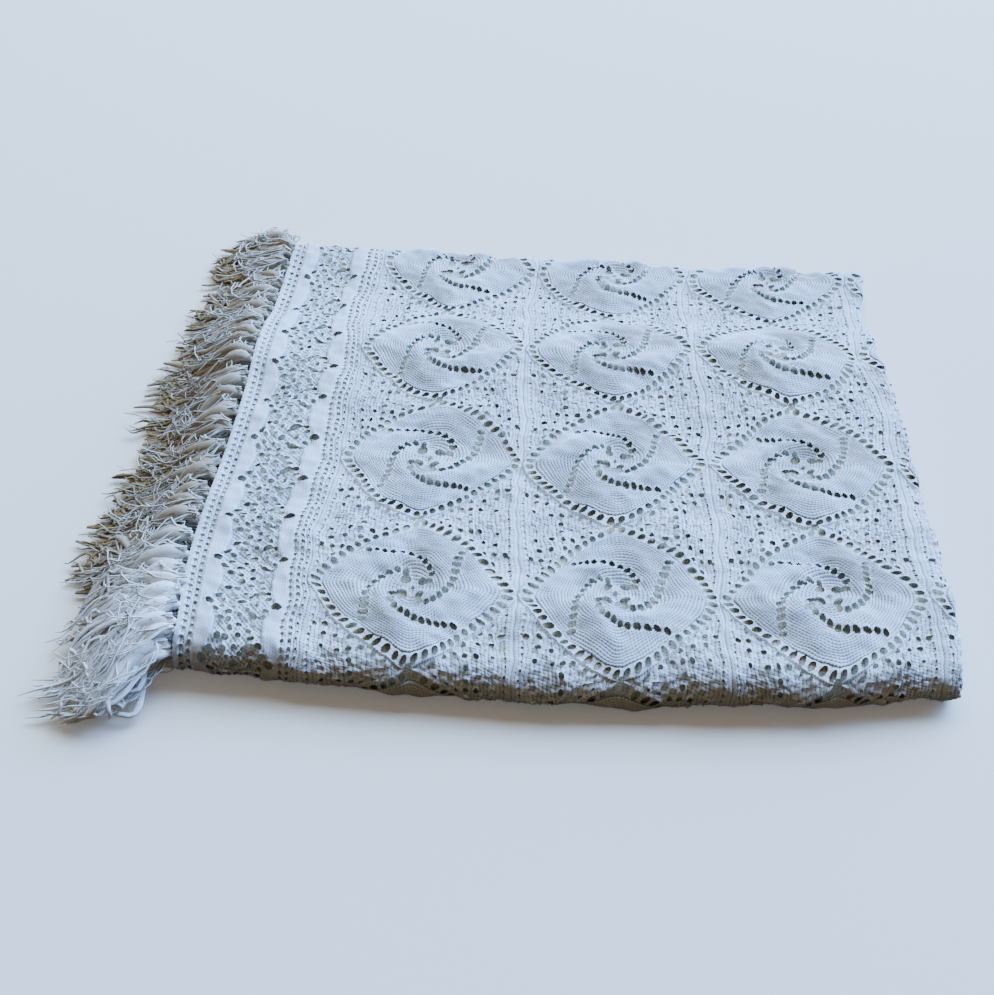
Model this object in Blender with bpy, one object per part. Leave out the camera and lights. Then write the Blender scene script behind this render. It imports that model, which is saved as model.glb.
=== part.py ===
"""Crochet bedspread, fringed along two opposite edges and folded in four each way.

Metres, +Z up. The bedspread lies on z = 0 with its box centred on the Z axis. -X is the side of the fringed
edges and -Y the side of the thick front fold.
"""

import math
from collections import namedtuple

import bmesh
import bpy
from mathutils import Matrix

# Flat cloth: width runs from one fringed edge to the other, length from one plain end to the other.
SQUARE = 0.150
COLUMNS = 14
ROWS = 13
BORDER = 0.092
WIDTH = COLUMNS * SQUARE + 2 * BORDER
LENGTH = ROWS * SQUARE
SHEET = 0.0017
SEAM_GAP = 0.0003

# Fringe: a heading strip knotted along the lace, and bunches of thread that taper to their ends.
HEADING = 0.006
BUNCH_PITCH = 0.036
BUNCH_ROOT = 0.020
BUNCH_TIP = 0.007
FRINGE_REACH = 0.098
REACH_SPREAD = 0.008
BUNCH_STEPS = 3
TIP_FLATTENING = 0.38

# Folded cloth: four layers make a slab, and four slabs make the stack.
LAYER = 0.0025
SLAB = 4 * LAYER
STACK = 4 * SLAB
BED_CLEARANCE = (LAYER - SHEET) / 2

# Outline of the top, before the edges drift and the whole is centred: the fringed edge, the centres of the
# side bends, and of the bends at the front and back.
FRINGED_EDGE = -0.2259
SIDE_BEND = 0.3275
FRONT_BEND = -0.2450
BACK_BEND = 0.2630
SIDE_LAYER = SIDE_BEND - FRINGED_EDGE
TOP_LAYER = BACK_BEND - FRONT_BEND

# A run of a fold. turn: 0 straight, 1 to the left, -1 to the right. size: length, or radius of a half circle.
# ease: cloth used for each metre of the run. steps: flat facets round a bend.
Run = namedtuple("Run", "turn size ease steps")

# Across the width, seen from the front: from the fringed edge on top to the one just below it.
LAYER_EASE = 1.0459
FOLD_ACROSS = (
    Run(0, SIDE_LAYER, 1.0, 0),
    Run(-1, 1.5 * LAYER, 1.0, 4),
    Run(0, SIDE_LAYER, LAYER_EASE, 0),
    Run(-1, 0.5 * LAYER, 1.0, 4),
    Run(0, SIDE_LAYER, LAYER_EASE, 0),
    Run(1, 0.5 * LAYER, 1.0, 4),
    Run(0, SIDE_LAYER, 1.0, 0),
)
FOLD_ACROSS_START = (FRINGED_EDGE, 3.5 * LAYER)

# Along the length, seen from the left: from the plain end inside the stack to the one at the bottom. The two
# short layers stop before the back, where the others sink to the ground.
TOP_EASE = 1.034
SLACK_EASE = 1.08
THIRD_LAYER = 0.3613
BOTTOM_LAYER = 0.3760
FOLD_ALONG = (
    Run(0, THIRD_LAYER, SLACK_EASE, 0),
    Run(1, 0.5 * SLAB, 1.0, 4),
    Run(0, TOP_LAYER, TOP_EASE, 0),
    Run(-1, 0.5 * SLAB, 1.75, 5),
    Run(0, TOP_LAYER, TOP_EASE, 0),
    Run(-1, 1.5 * SLAB, 1.25, 6),
    Run(0, BOTTOM_LAYER, SLACK_EASE, 0),
)
FOLD_ALONG_START = (-(FRONT_BEND + THIRD_LAYER), 1.5 * SLAB)

# Where the upper layers sink over the ends of the two short ones.
SINK_DEPTH = 2 * SLAB

# Lines along which every layer has a facet edge, so that the layers stay nested, and how the cloth settles
# on them; it is straight in between. left and right: how far the side edges stand to +X. front and back: how
# far those folds stand to +Y, where at_front or at_back is 1. sunk: share of the sink depth. lift: how much
# higher the top is than an even one.
AlongLine = namedtuple("AlongLine", "y left right sunk at_front at_back lift")
ALONG_LINES = (
    AlongLine(FRONT_BEND, -0.0010, -0.0050, 0.00, 1.00, 0.00, -0.0005),
    AlongLine(-0.163, -0.0062, -0.0020, 0.00, 0.55, 0.00, 0.0008),
    AlongLine(-0.063, -0.0019, -0.0018, 0.00, 0.00, 0.00, -0.0004),
    AlongLine(0.037, 0.0025, 0.0000, 0.00, 0.00, 0.00, 0.0010),
    AlongLine(0.118, 0.0030, -0.0050, 0.00, 0.00, 0.00, 0.0012),
    AlongLine(0.143, 0.0030, -0.0030, 0.25, 0.00, 0.13, 0.0006),
    AlongLine(0.167, 0.0030, -0.0015, 0.72, 0.00, 0.31, 0.0000),
    AlongLine(0.192, 0.0030, 0.0000, 1.00, 0.00, 0.56, -0.0003),
    AlongLine(BACK_BEND, 0.0060, 0.0090, 1.00, 0.00, 1.00, 0.0000),
)
AcrossLine = namedtuple("AcrossLine", "x front back lift")
ACROSS_LINES = (
    AcrossLine(FRINGED_EDGE, 0.0220, 0.0320, -0.0006),
    AcrossLine(FRINGED_EDGE + BORDER, 0.0120, 0.0250, 0.0004),
    AcrossLine(0.018, 0.0010, 0.0100, -0.0003),
    AcrossLine(0.168, 0.0000, 0.0000, 0.0006),
    AcrossLine(SIDE_BEND, 0.0120, -0.0040, -0.0005),
)

# Nearest that such a line comes to a bend, or to the edge of a piece.
LINE_CLEARANCE = 0.002

# How far each slab is shifted to +X, in their order along the length.
SLAB_SHIFTS = (-0.0018, -0.0018, 0.0, -0.0030)

# How the bunches of fringe fan out at the corners: the angle from straight out, and how far in it reaches.
FRONT_FAN = math.radians(38)
BACK_FAN = math.radians(-30)
FAN_REACH = 0.13

# Linear colour, roughness and metallic of the white cotton of each piece.
Finish = namedtuple("Finish", "colour roughness metallic")
FINISHES = {
    "field": Finish((0.70, 0.73, 0.76, 1), 0.9, 0.0),
    "border": Finish((0.72, 0.75, 0.78, 1), 0.9, 0.0),
    "fringe": Finish((0.66, 0.67, 0.66, 1), 0.95, 0.0),
}


def smooth_step(value, low, high):
    """0 below low, 1 above high, and a smooth rise between them."""
    part = min(max((value - low) / (high - low), 0), 1)
    return part * part * (3 - 2 * part)


def read_lines(lines, key, column, at):
    """A column of a table of lines, read at a value of its key column."""
    at = min(max(at, getattr(lines[0], key)), getattr(lines[-1], key))
    after = next(i for i in range(1, len(lines)) if at <= getattr(lines[i], key))
    low, high = lines[after - 1], lines[after]
    part = (at - getattr(low, key)) / (getattr(high, key) - getattr(low, key))
    return getattr(low, column) * (1 - part) + getattr(high, column) * part


def cloth_used(run):
    """Length of cloth that a run takes up."""
    return run.size * run.ease * (math.pi if run.turn else 1)


def follow(runs, start, distance, offset):
    """The point at a distance along the cloth on a folded path, and offset to the left of it."""
    along, height = start
    heading = 1
    for i, run in enumerate(runs):
        used = cloth_used(run)
        if distance <= used or i == len(runs) - 1:
            break
        distance -= used
        if run.turn:
            height += 2 * run.turn * heading * run.size
            heading = -heading
        else:
            along += heading * run.size
    if not run.turn:
        return along + heading * distance / run.ease, height + heading * offset
    angle = math.pi * distance / used
    sine, cosine = math.sin(angle), math.cos(angle)
    centre = height + run.turn * heading * run.size
    return (
        along + heading * (run.size - run.turn * offset) * sine,
        centre - heading * (run.turn * run.size - offset) * cosine,
    )


def fold(width_at, length_at, offset):
    """Where a point of the flat cloth lies once both folds are made. offset is towards the right side."""
    x, height = follow(FOLD_ACROSS, FOLD_ACROSS_START, width_at, offset)
    forward, z = follow(FOLD_ALONG, FOLD_ALONG_START, length_at, height - SLAB / 2)
    return x, -forward, z


def shift_of_slab(length_at):
    """Shift of the cloth to +X: even along a slab, and changing round a bend to that of the next slab."""
    level = 0
    for run in FOLD_ALONG:
        used = cloth_used(run)
        if run.turn:
            level += min(max(length_at / used, 0), 1)
        length_at -= used
    below = min(int(level), len(SLAB_SHIFTS) - 2)
    return SLAB_SHIFTS[below] + (SLAB_SHIFTS[below + 1] - SLAB_SHIFTS[below]) * (level - below)


def settle(x, y, z):
    """Lets folded cloth settle: its edges drift, its upper layers sink at the back, and its top is uneven."""
    side = (x - FRINGED_EDGE) / SIDE_LAYER
    left = read_lines(ALONG_LINES, "y", "left", y)
    right = read_lines(ALONG_LINES, "y", "right", y)
    front = read_lines(ACROSS_LINES, "x", "front", x) * read_lines(ALONG_LINES, "y", "at_front", y)
    back = read_lines(ACROSS_LINES, "x", "back", x) * read_lines(ALONG_LINES, "y", "at_back", y)
    lift = read_lines(ACROSS_LINES, "x", "lift", x) + read_lines(ALONG_LINES, "y", "lift", y)
    sunk = SINK_DEPTH * read_lines(ALONG_LINES, "y", "sunk", y) if z > STACK / 2 else 0
    return (
        x + left + (right - left) * side,
        y + front + back,
        max(z - sunk - BED_CLEARANCE, 0) * (1 + lift / STACK),
    )


def fold_lines(runs, start, lines):
    """Places along the flat cloth where its facets meet: at ends of runs, round bends and on shared lines."""
    places = [0]
    along = start[0]
    heading = 1
    for run in runs:
        base = places[-1]
        used = cloth_used(run)
        if run.turn:
            places += [base + used * (i + 1) / run.steps for i in range(run.steps)]
            heading = -heading
            continue
        distances = [(line - along) * heading for line in lines]
        inside = sorted(d for d in distances if LINE_CLEARANCE < d < run.size - LINE_CLEARANCE)
        places += [base + d * run.ease for d in inside] + [base + used]
        along += heading * run.size
    return places


def lines_across():
    """Places across the width where the cloth's facets meet."""
    return fold_lines(FOLD_ACROSS, FOLD_ACROSS_START, [line.x for line in ACROSS_LINES])


def lines_along():
    """Places along the length where the cloth's facets meet."""
    return fold_lines(FOLD_ALONG, FOLD_ALONG_START, [-line.y for line in ALONG_LINES])


def trim(places, low, high):
    """The places between two limits that are clear of them, with the limits themselves."""
    return [low] + [p for p in places if low + LINE_CLEARANCE < p < high - LINE_CLEARANCE] + [high]


def grid_of_cloth(width_places, length_places):
    """A flat grid with its lines at the given places, as a bmesh."""
    cloth = bmesh.new()
    columns, rows = len(width_places) - 1, len(length_places) - 1
    bmesh.ops.create_grid(cloth, x_segments=columns, y_segments=rows, size=1)
    for vert in cloth.verts:
        column = round((vert.co.x + 1) / 2 * columns)
        row = round((vert.co.y + 1) / 2 * rows)
        vert.co = (width_places[column], length_places[row], -SHEET / 2)
    return cloth


def thicken(cloth):
    """Gives flat cloth its thickness, upwards."""
    made = bmesh.ops.extrude_face_region(cloth, geom=cloth.faces[:])
    for item in made["geom"]:
        if isinstance(item, bmesh.types.BMVert):
            item.co.z = SHEET / 2


def finish_piece(name, cloth, place, finish):
    """Lays flat cloth in its place and makes it an object."""
    bmesh.ops.recalc_face_normals(cloth, faces=cloth.faces)
    for vert in cloth.verts:
        vert.co = place(*vert.co)
    if cloth.calc_volume(signed=True) < 0:
        bmesh.ops.reverse_faces(cloth, faces=cloth.faces)
    mesh = bpy.data.meshes.new(name)
    cloth.to_mesh(mesh)
    cloth.free()
    material = bpy.data.materials.new(name)
    material.use_nodes = True
    shader = material.node_tree.nodes["Principled BSDF"]
    shader.inputs["Base Color"].default_value = finish.colour
    shader.inputs["Roughness"].default_value = finish.roughness
    shader.inputs["Metallic"].default_value = finish.metallic
    mesh.materials.append(material)
    return bpy.data.objects.new(name, mesh)


def lay_cloth(width_at, length_at, offset):
    """Where a point of the flat cloth lies in the settled bedspread."""
    x, y, z = settle(*fold(width_at, length_at, offset))
    return x + shift_of_slab(length_at), y, z


def build_cloth(name, low, high, finish):
    """The strip of cloth between two places across the width, folded."""
    cloth = grid_of_cloth(trim(lines_across(), low, high), lines_along())
    thicken(cloth)
    return finish_piece(name, cloth, lay_cloth, finish)


def bunch_centres():
    """Places along the length where bunches of fringe hang: even on each straight run, clear of the bends."""
    centres = []
    base = 0
    for run in FOLD_ALONG:
        used = cloth_used(run)
        if not run.turn:
            count = int((used - 0.2 * BUNCH_PITCH) / BUNCH_PITCH)
            first = base + (used - (count - 1) * BUNCH_PITCH) / 2
            centres += [first + i * BUNCH_PITCH for i in range(count)]
        base += used
    return centres


def bunch_reach(centre):
    """How far a bunch hangs out from its edge, a little different for each."""
    return FRINGE_REACH + REACH_SPREAD * math.sin(97 * centre)


def lay_fringe(edge_at):
    """The function that lays a fringe's flat comb, which hangs from an edge at edge_at across the width."""

    def place(out, length_at, offset):
        x, y, z = lay_cloth(edge_at, length_at, offset)
        at_front = 1 - smooth_step(y, FRONT_BEND, FRONT_BEND + FAN_REACH)
        at_back = smooth_step(y, BACK_BEND - FAN_REACH, BACK_BEND)
        angle = FRONT_FAN * at_front + BACK_FAN * at_back
        flattened = 1 - TIP_FLATTENING * smooth_step(out, HEADING, FRINGE_REACH)
        near, far = min(out, HEADING), max(out - HEADING, 0)
        return x - near - far * math.cos(angle), y - far * math.sin(angle), z * flattened

    return place


def build_fringe(name, edge_at, finish):
    """A comb: the heading strip along an edge, with the bunches of thread drawn out of it."""
    centres = bunch_centres()
    half = BUNCH_ROOT / 2
    edges = sorted(c + side * half for c in centres for side in (-1, 1))
    comb = grid_of_cloth([SEAM_GAP, HEADING], sorted(set(edges + lines_along())))
    for centre in centres:
        edges = [
            e
            for e in comb.edges
            if all(abs(v.co.x - HEADING) < 1e-6 and abs(v.co.y - centre) < half + 1e-4 for v in e.verts)
        ]
        reach = bunch_reach(centre)
        width = BUNCH_ROOT
        for step in range(BUNCH_STEPS):
            part = (step + 1) / BUNCH_STEPS
            wider, width = width, BUNCH_ROOT + (BUNCH_TIP - BUNCH_ROOT) * part
            made = bmesh.ops.extrude_edge_only(comb, edges=edges)["geom"]
            tips = {item for item in made if isinstance(item, bmesh.types.BMVert)}
            edges = [e for e in made if isinstance(e, bmesh.types.BMEdge) and tips.issuperset(e.verts)]
            for vert in tips:
                aside = (vert.co.y - centre) * width / wider
                vert.co = (HEADING + (reach - HEADING) * part, centre + aside, -SHEET / 2)
    thicken(comb)
    return finish_piece(name, comb, lay_fringe(edge_at), finish)


def centre(pieces):
    """Moves the pieces together, so that their box is centred on the Z axis."""
    points = [vert.co for piece in pieces for vert in piece.data.vertices]
    middle = [(min(p[i] for p in points) + max(p[i] for p in points)) / 2 for i in (0, 1)]
    for piece in pieces:
        piece.data.transform(Matrix.Translation((-middle[0], -middle[1], 0)))


def build():
    """Makes every piece of the bedspread, in a collection of its own."""
    for obj in list(bpy.data.objects):
        bpy.data.objects.remove(obj, do_unlink=True)
    pieces = (
        build_cloth("field", BORDER + SEAM_GAP / 2, WIDTH - BORDER - SEAM_GAP / 2, FINISHES["field"]),
        build_cloth("border_a", 0, BORDER - SEAM_GAP / 2, FINISHES["border"]),
        build_cloth("border_b", WIDTH - BORDER + SEAM_GAP / 2, WIDTH, FINISHES["border"]),
        build_fringe("fringe_a", 0, FINISHES["fringe"]),
        build_fringe("fringe_b", WIDTH, FINISHES["fringe"]),
    )
    centre(pieces)
    collection = bpy.data.collections.new("crochet_bedspread")
    bpy.context.scene.collection.children.link(collection)
    for piece in pieces:
        collection.objects.link(piece)


build()
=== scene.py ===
"""Crochet bedspread, folded and laid on a surface: the visual model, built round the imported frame.

Every piece is laid out flat first, as it was crocheted, and is then carried through the same folds as the
solids of the frame. Metres, +Z up; -X is the side of the fringed edges and -Y that of the thick front fold.
"""

import logging
import math
from collections.abc import Sequence
from dataclasses import dataclass, field
from enum import Enum

import bpy
import numpy as np
from mathutils import Euler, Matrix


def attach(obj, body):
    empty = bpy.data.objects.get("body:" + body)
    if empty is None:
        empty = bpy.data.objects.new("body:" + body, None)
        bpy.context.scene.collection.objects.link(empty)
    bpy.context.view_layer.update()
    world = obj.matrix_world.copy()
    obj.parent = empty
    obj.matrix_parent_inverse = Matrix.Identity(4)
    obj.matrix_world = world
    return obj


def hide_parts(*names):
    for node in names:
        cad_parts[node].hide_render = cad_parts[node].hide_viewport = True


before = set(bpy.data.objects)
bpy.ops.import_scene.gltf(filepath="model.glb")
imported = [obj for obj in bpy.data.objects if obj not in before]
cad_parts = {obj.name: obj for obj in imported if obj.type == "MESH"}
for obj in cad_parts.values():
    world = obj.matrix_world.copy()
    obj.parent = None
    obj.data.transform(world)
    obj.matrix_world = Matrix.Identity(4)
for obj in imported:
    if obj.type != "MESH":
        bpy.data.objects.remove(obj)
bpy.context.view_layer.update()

Array = np.ndarray

log = logging.getLogger("bedspread")

# How the cloth is worked: upright ribs, each of stitches one over the other.
RIB = 0.0030
STITCH = 0.0026

# Flat cloth, as in the frame: width runs from one fringed edge to the other, length between the plain ends.
SQUARE = 0.150
COLUMNS = 14
ROWS = 13
BORDER = 0.092
WIDTH = COLUMNS * SQUARE + 2 * BORDER
LENGTH = ROWS * SQUARE

# Folded cloth, as in the frame: four layers make a slab, and four slabs make the stack.
LAYER = 0.0025
SLAB = 4 * LAYER
STACK = 4 * SLAB
BED_CLEARANCE = 0.0004
FRINGED_EDGE = -0.2259
SIDE_BEND = 0.3275
FRONT_BEND = -0.2450
BACK_BEND = 0.2630
SIDE_LAYER = SIDE_BEND - FRINGED_EDGE
TOP_LAYER = BACK_BEND - FRONT_BEND
THIRD_LAYER = 0.3613
BOTTOM_LAYER = 0.3760
SINK_DEPTH = 2 * SLAB
# What the frame takes off x and y to stand on its own middle.
CENTRE = (0.00046, 0.02563)


def smooth_step(value: Array | float, low: float, high: float) -> Array:
    """A smooth rise between two values.

    Args:
        value: Where to read it.
        low: Where the rise starts.
        high: Where it ends.

    Returns:
        0 below low, 1 above high, and a smooth curve in between.
    """
    part = np.clip((np.asarray(value, float) - low) / (high - low), 0, 1)
    return part * part * (3 - 2 * part)


def smooth_table(keys: Sequence[float], values: Sequence[float], at: Array) -> Array:
    """Reads a table as a smooth curve through its points.

    Args:
        keys: The rising keys of the table.
        values: The value at each key.
        at: Where to read it; past the ends the end values hold.

    Returns:
        The values there.
    """
    keys, values = np.asarray(keys, float), np.asarray(values, float)
    slopes = np.gradient(values, keys)
    at = np.clip(at, keys[0], keys[-1])
    low = np.clip(np.searchsorted(keys, at) - 1, 0, len(keys) - 2)
    span = keys[low + 1] - keys[low]
    part = (at - keys[low]) / span
    square, cube = part**2, part**3
    return (
        values[low] * (2 * cube - 3 * square + 1)
        + values[low + 1] * (3 * square - 2 * cube)
        + span * (slopes[low] * (cube - 2 * square + part) + slopes[low + 1] * (cube - square))
    )


def ripple(x: Array, y: Array, size: float, seed: int) -> Array:
    """A soft random field: a few waves of about one length, each its own way.

    Args:
        x: Where to read it.
        y: Where to read it.
        size: Length of the waves.
        seed: Which field.

    Returns:
        Values that stay within about -1 and 1.
    """
    rng = np.random.default_rng(seed)
    total = np.zeros_like(x)
    for way in rng.uniform(0, 0.7, 5) + np.arange(5) * math.pi / 5:
        wave = 2 * math.pi / (size * rng.uniform(0.75, 1.35))
        total += np.sin(wave * (x * math.cos(way) + y * math.sin(way)) + rng.uniform(0, 2 * math.pi))
    return total / 3


@dataclass(frozen=True)
class Run:
    """A run of a fold: straight (turn 0), or a half turn to the left (1) or to the right (-1).

    Its size is its length or its radius, and its ease is how much cloth it holds beside what that needs.
    """

    turn: int
    size: float
    ease: float = 1.0

    @property
    def used(self) -> float:
        """Length of cloth that the run takes up."""
        return self.size * self.ease * (math.pi if self.turn else 1)


@dataclass(frozen=True)
class FoldPath:
    """A folded line, followed from its start; it sets out to +."""

    start: tuple[float, float]
    runs: tuple[Run, ...]

    def follow(self, distance: Array, offset: Array) -> tuple[Array, Array]:
        """Finds points of the folded line.

        Args:
            distance: How far along the cloth each point is.
            offset: How far to the left of the line it stands.

        Returns:
            How far along and how high each point is.
        """
        along, height, heading = self.start[0], self.start[1], 1
        found_along, found_height = np.zeros_like(distance), np.zeros_like(distance)
        base = 0.0
        for i, run in enumerate(self.runs):
            first, last = i == 0, i == len(self.runs) - 1
            here = ((distance > base) | first) & ((distance <= base + run.used) | last)
            part, aside = distance[here] - base, offset[here]
            base += run.used
            if run.turn == 0:
                found_along[here] = along + heading * part / run.ease
                found_height[here] = height + heading * aside
                along += heading * run.size
                continue
            angle = math.pi * part / run.used
            centre = height + run.turn * heading * run.size
            found_along[here] = along + heading * (run.size - run.turn * aside) * np.sin(angle)
            found_height[here] = centre - heading * (run.turn * run.size - aside) * np.cos(angle)
            height += 2 * run.turn * heading * run.size
            heading = -heading
        return found_along, found_height


@dataclass(frozen=True)
class AlongLine:
    """How the cloth settles on a line across the stack, as in the frame.

    Its two ends go to +X by left and right, it sinks by a share of the sink's depth, it follows the front and
    the back edge by a share, and it lifts.
    """

    y: float
    left: float
    right: float
    sunk: float
    at_front: float
    at_back: float
    lift: float


@dataclass(frozen=True)
class AcrossLine:
    """How the cloth settles on a line from the front to the back of the stack, as in the frame.

    Its front and back ends go to +Y, and it lifts.
    """

    x: float
    front: float
    back: float
    lift: float


@dataclass(frozen=True)
class Swell:
    """One slow wave of the uneven top: how high, how long each way, and where it starts."""

    height: float
    length_x: float
    length_y: float
    phase: float


@dataclass(frozen=True)
class Lie:
    """How the bedspread lies: the folds, and how the folded cloth has settled."""

    across: FoldPath = FoldPath(
        (FRINGED_EDGE, 3.5 * LAYER),
        (
            Run(0, SIDE_LAYER),
            Run(-1, 1.5 * LAYER),
            Run(0, SIDE_LAYER, 1.0459),
            Run(-1, 0.5 * LAYER),
            Run(0, SIDE_LAYER, 1.0459),
            Run(1, 0.5 * LAYER),
            Run(0, SIDE_LAYER),
        ),
    )
    along: FoldPath = FoldPath(
        (-(FRONT_BEND + THIRD_LAYER), 1.5 * SLAB),
        (
            Run(0, THIRD_LAYER, 1.08),
            Run(1, 0.5 * SLAB),
            Run(0, TOP_LAYER, 1.034),
            Run(-1, 0.5 * SLAB, 1.75),
            Run(0, TOP_LAYER, 1.034),
            Run(-1, 1.5 * SLAB, 1.25),
            Run(0, BOTTOM_LAYER, 1.08),
        ),
    )
    along_lines: tuple[AlongLine, ...] = (
        AlongLine(FRONT_BEND, -0.0010, -0.0050, 0.00, 1.00, 0.00, -0.0005),
        AlongLine(-0.163, -0.0062, -0.0020, 0.00, 0.55, 0.00, 0.0008),
        AlongLine(-0.063, -0.0019, -0.0018, 0.00, 0.00, 0.00, -0.0004),
        AlongLine(0.037, 0.0025, 0.0000, 0.00, 0.00, 0.00, 0.0010),
        AlongLine(0.118, 0.0030, -0.0050, 0.00, 0.00, 0.00, 0.0012),
        AlongLine(0.143, 0.0030, -0.0030, 0.25, 0.00, 0.13, 0.0006),
        AlongLine(0.167, 0.0030, -0.0015, 0.72, 0.00, 0.31, 0.0000),
        AlongLine(0.192, 0.0030, 0.0000, 1.00, 0.00, 0.56, -0.0003),
        AlongLine(BACK_BEND, 0.0060, 0.0090, 1.00, 0.00, 1.00, 0.0000),
    )
    across_lines: tuple[AcrossLine, ...] = (
        AcrossLine(FRINGED_EDGE, 0.0220, 0.0320, -0.0006),
        AcrossLine(FRINGED_EDGE + BORDER, 0.0120, 0.0250, 0.0004),
        AcrossLine(0.018, 0.0010, 0.0100, -0.0003),
        AcrossLine(0.168, 0.0000, 0.0000, 0.0006),
        AcrossLine(SIDE_BEND, 0.0120, -0.0040, -0.0005),
    )
    slab_shifts: tuple[float, ...] = (-0.0018, -0.0018, 0.0, -0.0030)
    # What share the folded front droops by, at the fringed side and from a share of the width on; how far in
    # it starts, and the most that the slope counts past the front.
    front_droop: tuple[float, float] = (0.02, 0.07)
    droop_side: float = 0.35
    droop_reach: float = 0.050
    droop_limit: float = 1.1
    swells: tuple[Swell, ...] = (
        Swell(0.0010, 0.23, 0.31, 0.4),
        Swell(0.0008, 0.41, 0.17, 2.1),
        Swell(0.0006, 0.13, -0.19, 4.0),
        Swell(0.0005, 0.11, 0.10, 1.3),
    )

    def read(self, lines: tuple, key: str, column: str, at: Array) -> Array:
        """Reads a column of a table of lines at values of its key."""
        return smooth_table([getattr(row, key) for row in lines], [getattr(row, column) for row in lines], at)

    def shift(self, length_at: Array) -> Array:
        """Shift of the cloth to +X at places along its length, as in the frame.

        Args:
            length_at: The places.

        Returns:
            The shift at each place.
        """
        level, base = np.zeros_like(length_at), 0.0
        for run in self.along.runs:
            if run.turn:
                level += np.clip((length_at - base) / run.used, 0, 1)
            base += run.used
        return np.interp(level, range(len(self.slab_shifts)), self.slab_shifts)

    def place(self, width_at: Array, length_at: Array, lift: Array | float = 0.0) -> Array:
        """Lays points of the flat cloth in their place.

        Args:
            width_at: Where they are across the flat width.
            length_at: Where they are along the flat length.
            lift: How far they stand out of the cloth's middle, towards its right side.

        Returns:
            One row of x, y and z for each point.
        """
        width_at, length_at = np.asarray(width_at, float), np.asarray(length_at, float)
        lift = np.broadcast_to(np.asarray(lift, float), width_at.shape)
        x, height = self.across.follow(width_at, lift)
        forward, z = self.along.follow(length_at, height - SLAB / 2)
        y = -forward
        side = (x - FRINGED_EDGE) / SIDE_LAYER
        columns = ("left", "right", "sunk", "at_front", "at_back", "lift")
        settled = [self.read(self.along_lines, "y", column, y) for column in columns]
        left, right, sunk, at_front, at_back, rise = settled
        columns = ("front", "back", "lift")
        front, back, lifted = [self.read(self.across_lines, "x", column, x) for column in columns]
        rise = lifted + rise
        for swell in self.swells:
            turn = 2 * math.pi * (x / swell.length_x + y / swell.length_y) + swell.phase
            rise = rise + swell.height * np.sin(turn)
        near_front = (FRONT_BEND + self.droop_reach - y) / self.droop_reach
        slope = np.clip(near_front, 0, self.droop_limit) ** 2
        droop = np.interp(side, (0.0, self.droop_side), self.front_droop) * slope
        # Behind the end of the lower half of the stack, the upper half comes down onto the bed.
        sunk = SINK_DEPTH * sunk * smooth_step(z, STACK / 2 - 0.001, STACK / 2)
        return np.stack(
            (
                x + left + (right - left) * side + self.shift(length_at) - CENTRE[0],
                y + front * at_front + back * at_back - CENTRE[1],
                np.maximum(z - sunk - BED_CLEARANCE, 0) * (1 + rise / STACK) * (1 - droop),
            ),
            axis=-1,
        )


LIE = Lie()


@dataclass
class Holes:
    """Oval holes in flat cloth: rows of x, y, direction of the long axis, and half its length and width."""

    rows: list[tuple[float, float, float, float, float]] = field(default_factory=list)
    # The nearest to its middle that a point counts, as a share of the way to the rim.
    nearest: float = 0.05

    def add(self, x: float, y: float, angle: float, long: float, wide: float) -> None:
        """Adds one hole."""
        self.rows.append((x, y, angle, long, wide))

    def nearness(self, points: Array) -> tuple[Array, Array]:
        """Finds each point's nearest hole.

        Args:
            points: Flat points, one row of x and y each.

        Returns:
            How far out of that hole each point is, 1 being its rim, and the point of the rim next to it.
        """
        best = np.full(len(points), np.inf)
        rim = points.copy()
        for x, y, angle, long, wide in self.rows:
            near = (abs(points[:, 0] - x) < 2 * long) & (abs(points[:, 1] - y) < 2 * long)
            index = np.nonzero(near)[0]
            dx, dy = points[index, 0] - x, points[index, 1] - y
            cosine, sine = math.cos(angle), math.sin(angle)
            along, aside = dx * cosine + dy * sine, dy * cosine - dx * sine
            out = np.maximum(np.hypot(along / long, aside / wide), self.nearest)
            closer = out < best[index]
            index, out, along, aside = index[closer], out[closer], along[closer], aside[closer]
            best[index] = out
            rim[index, 0] = x + (along * cosine - aside * sine) / out
            rim[index, 1] = y + (along * sine + aside * cosine) / out
        return best, rim


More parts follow.
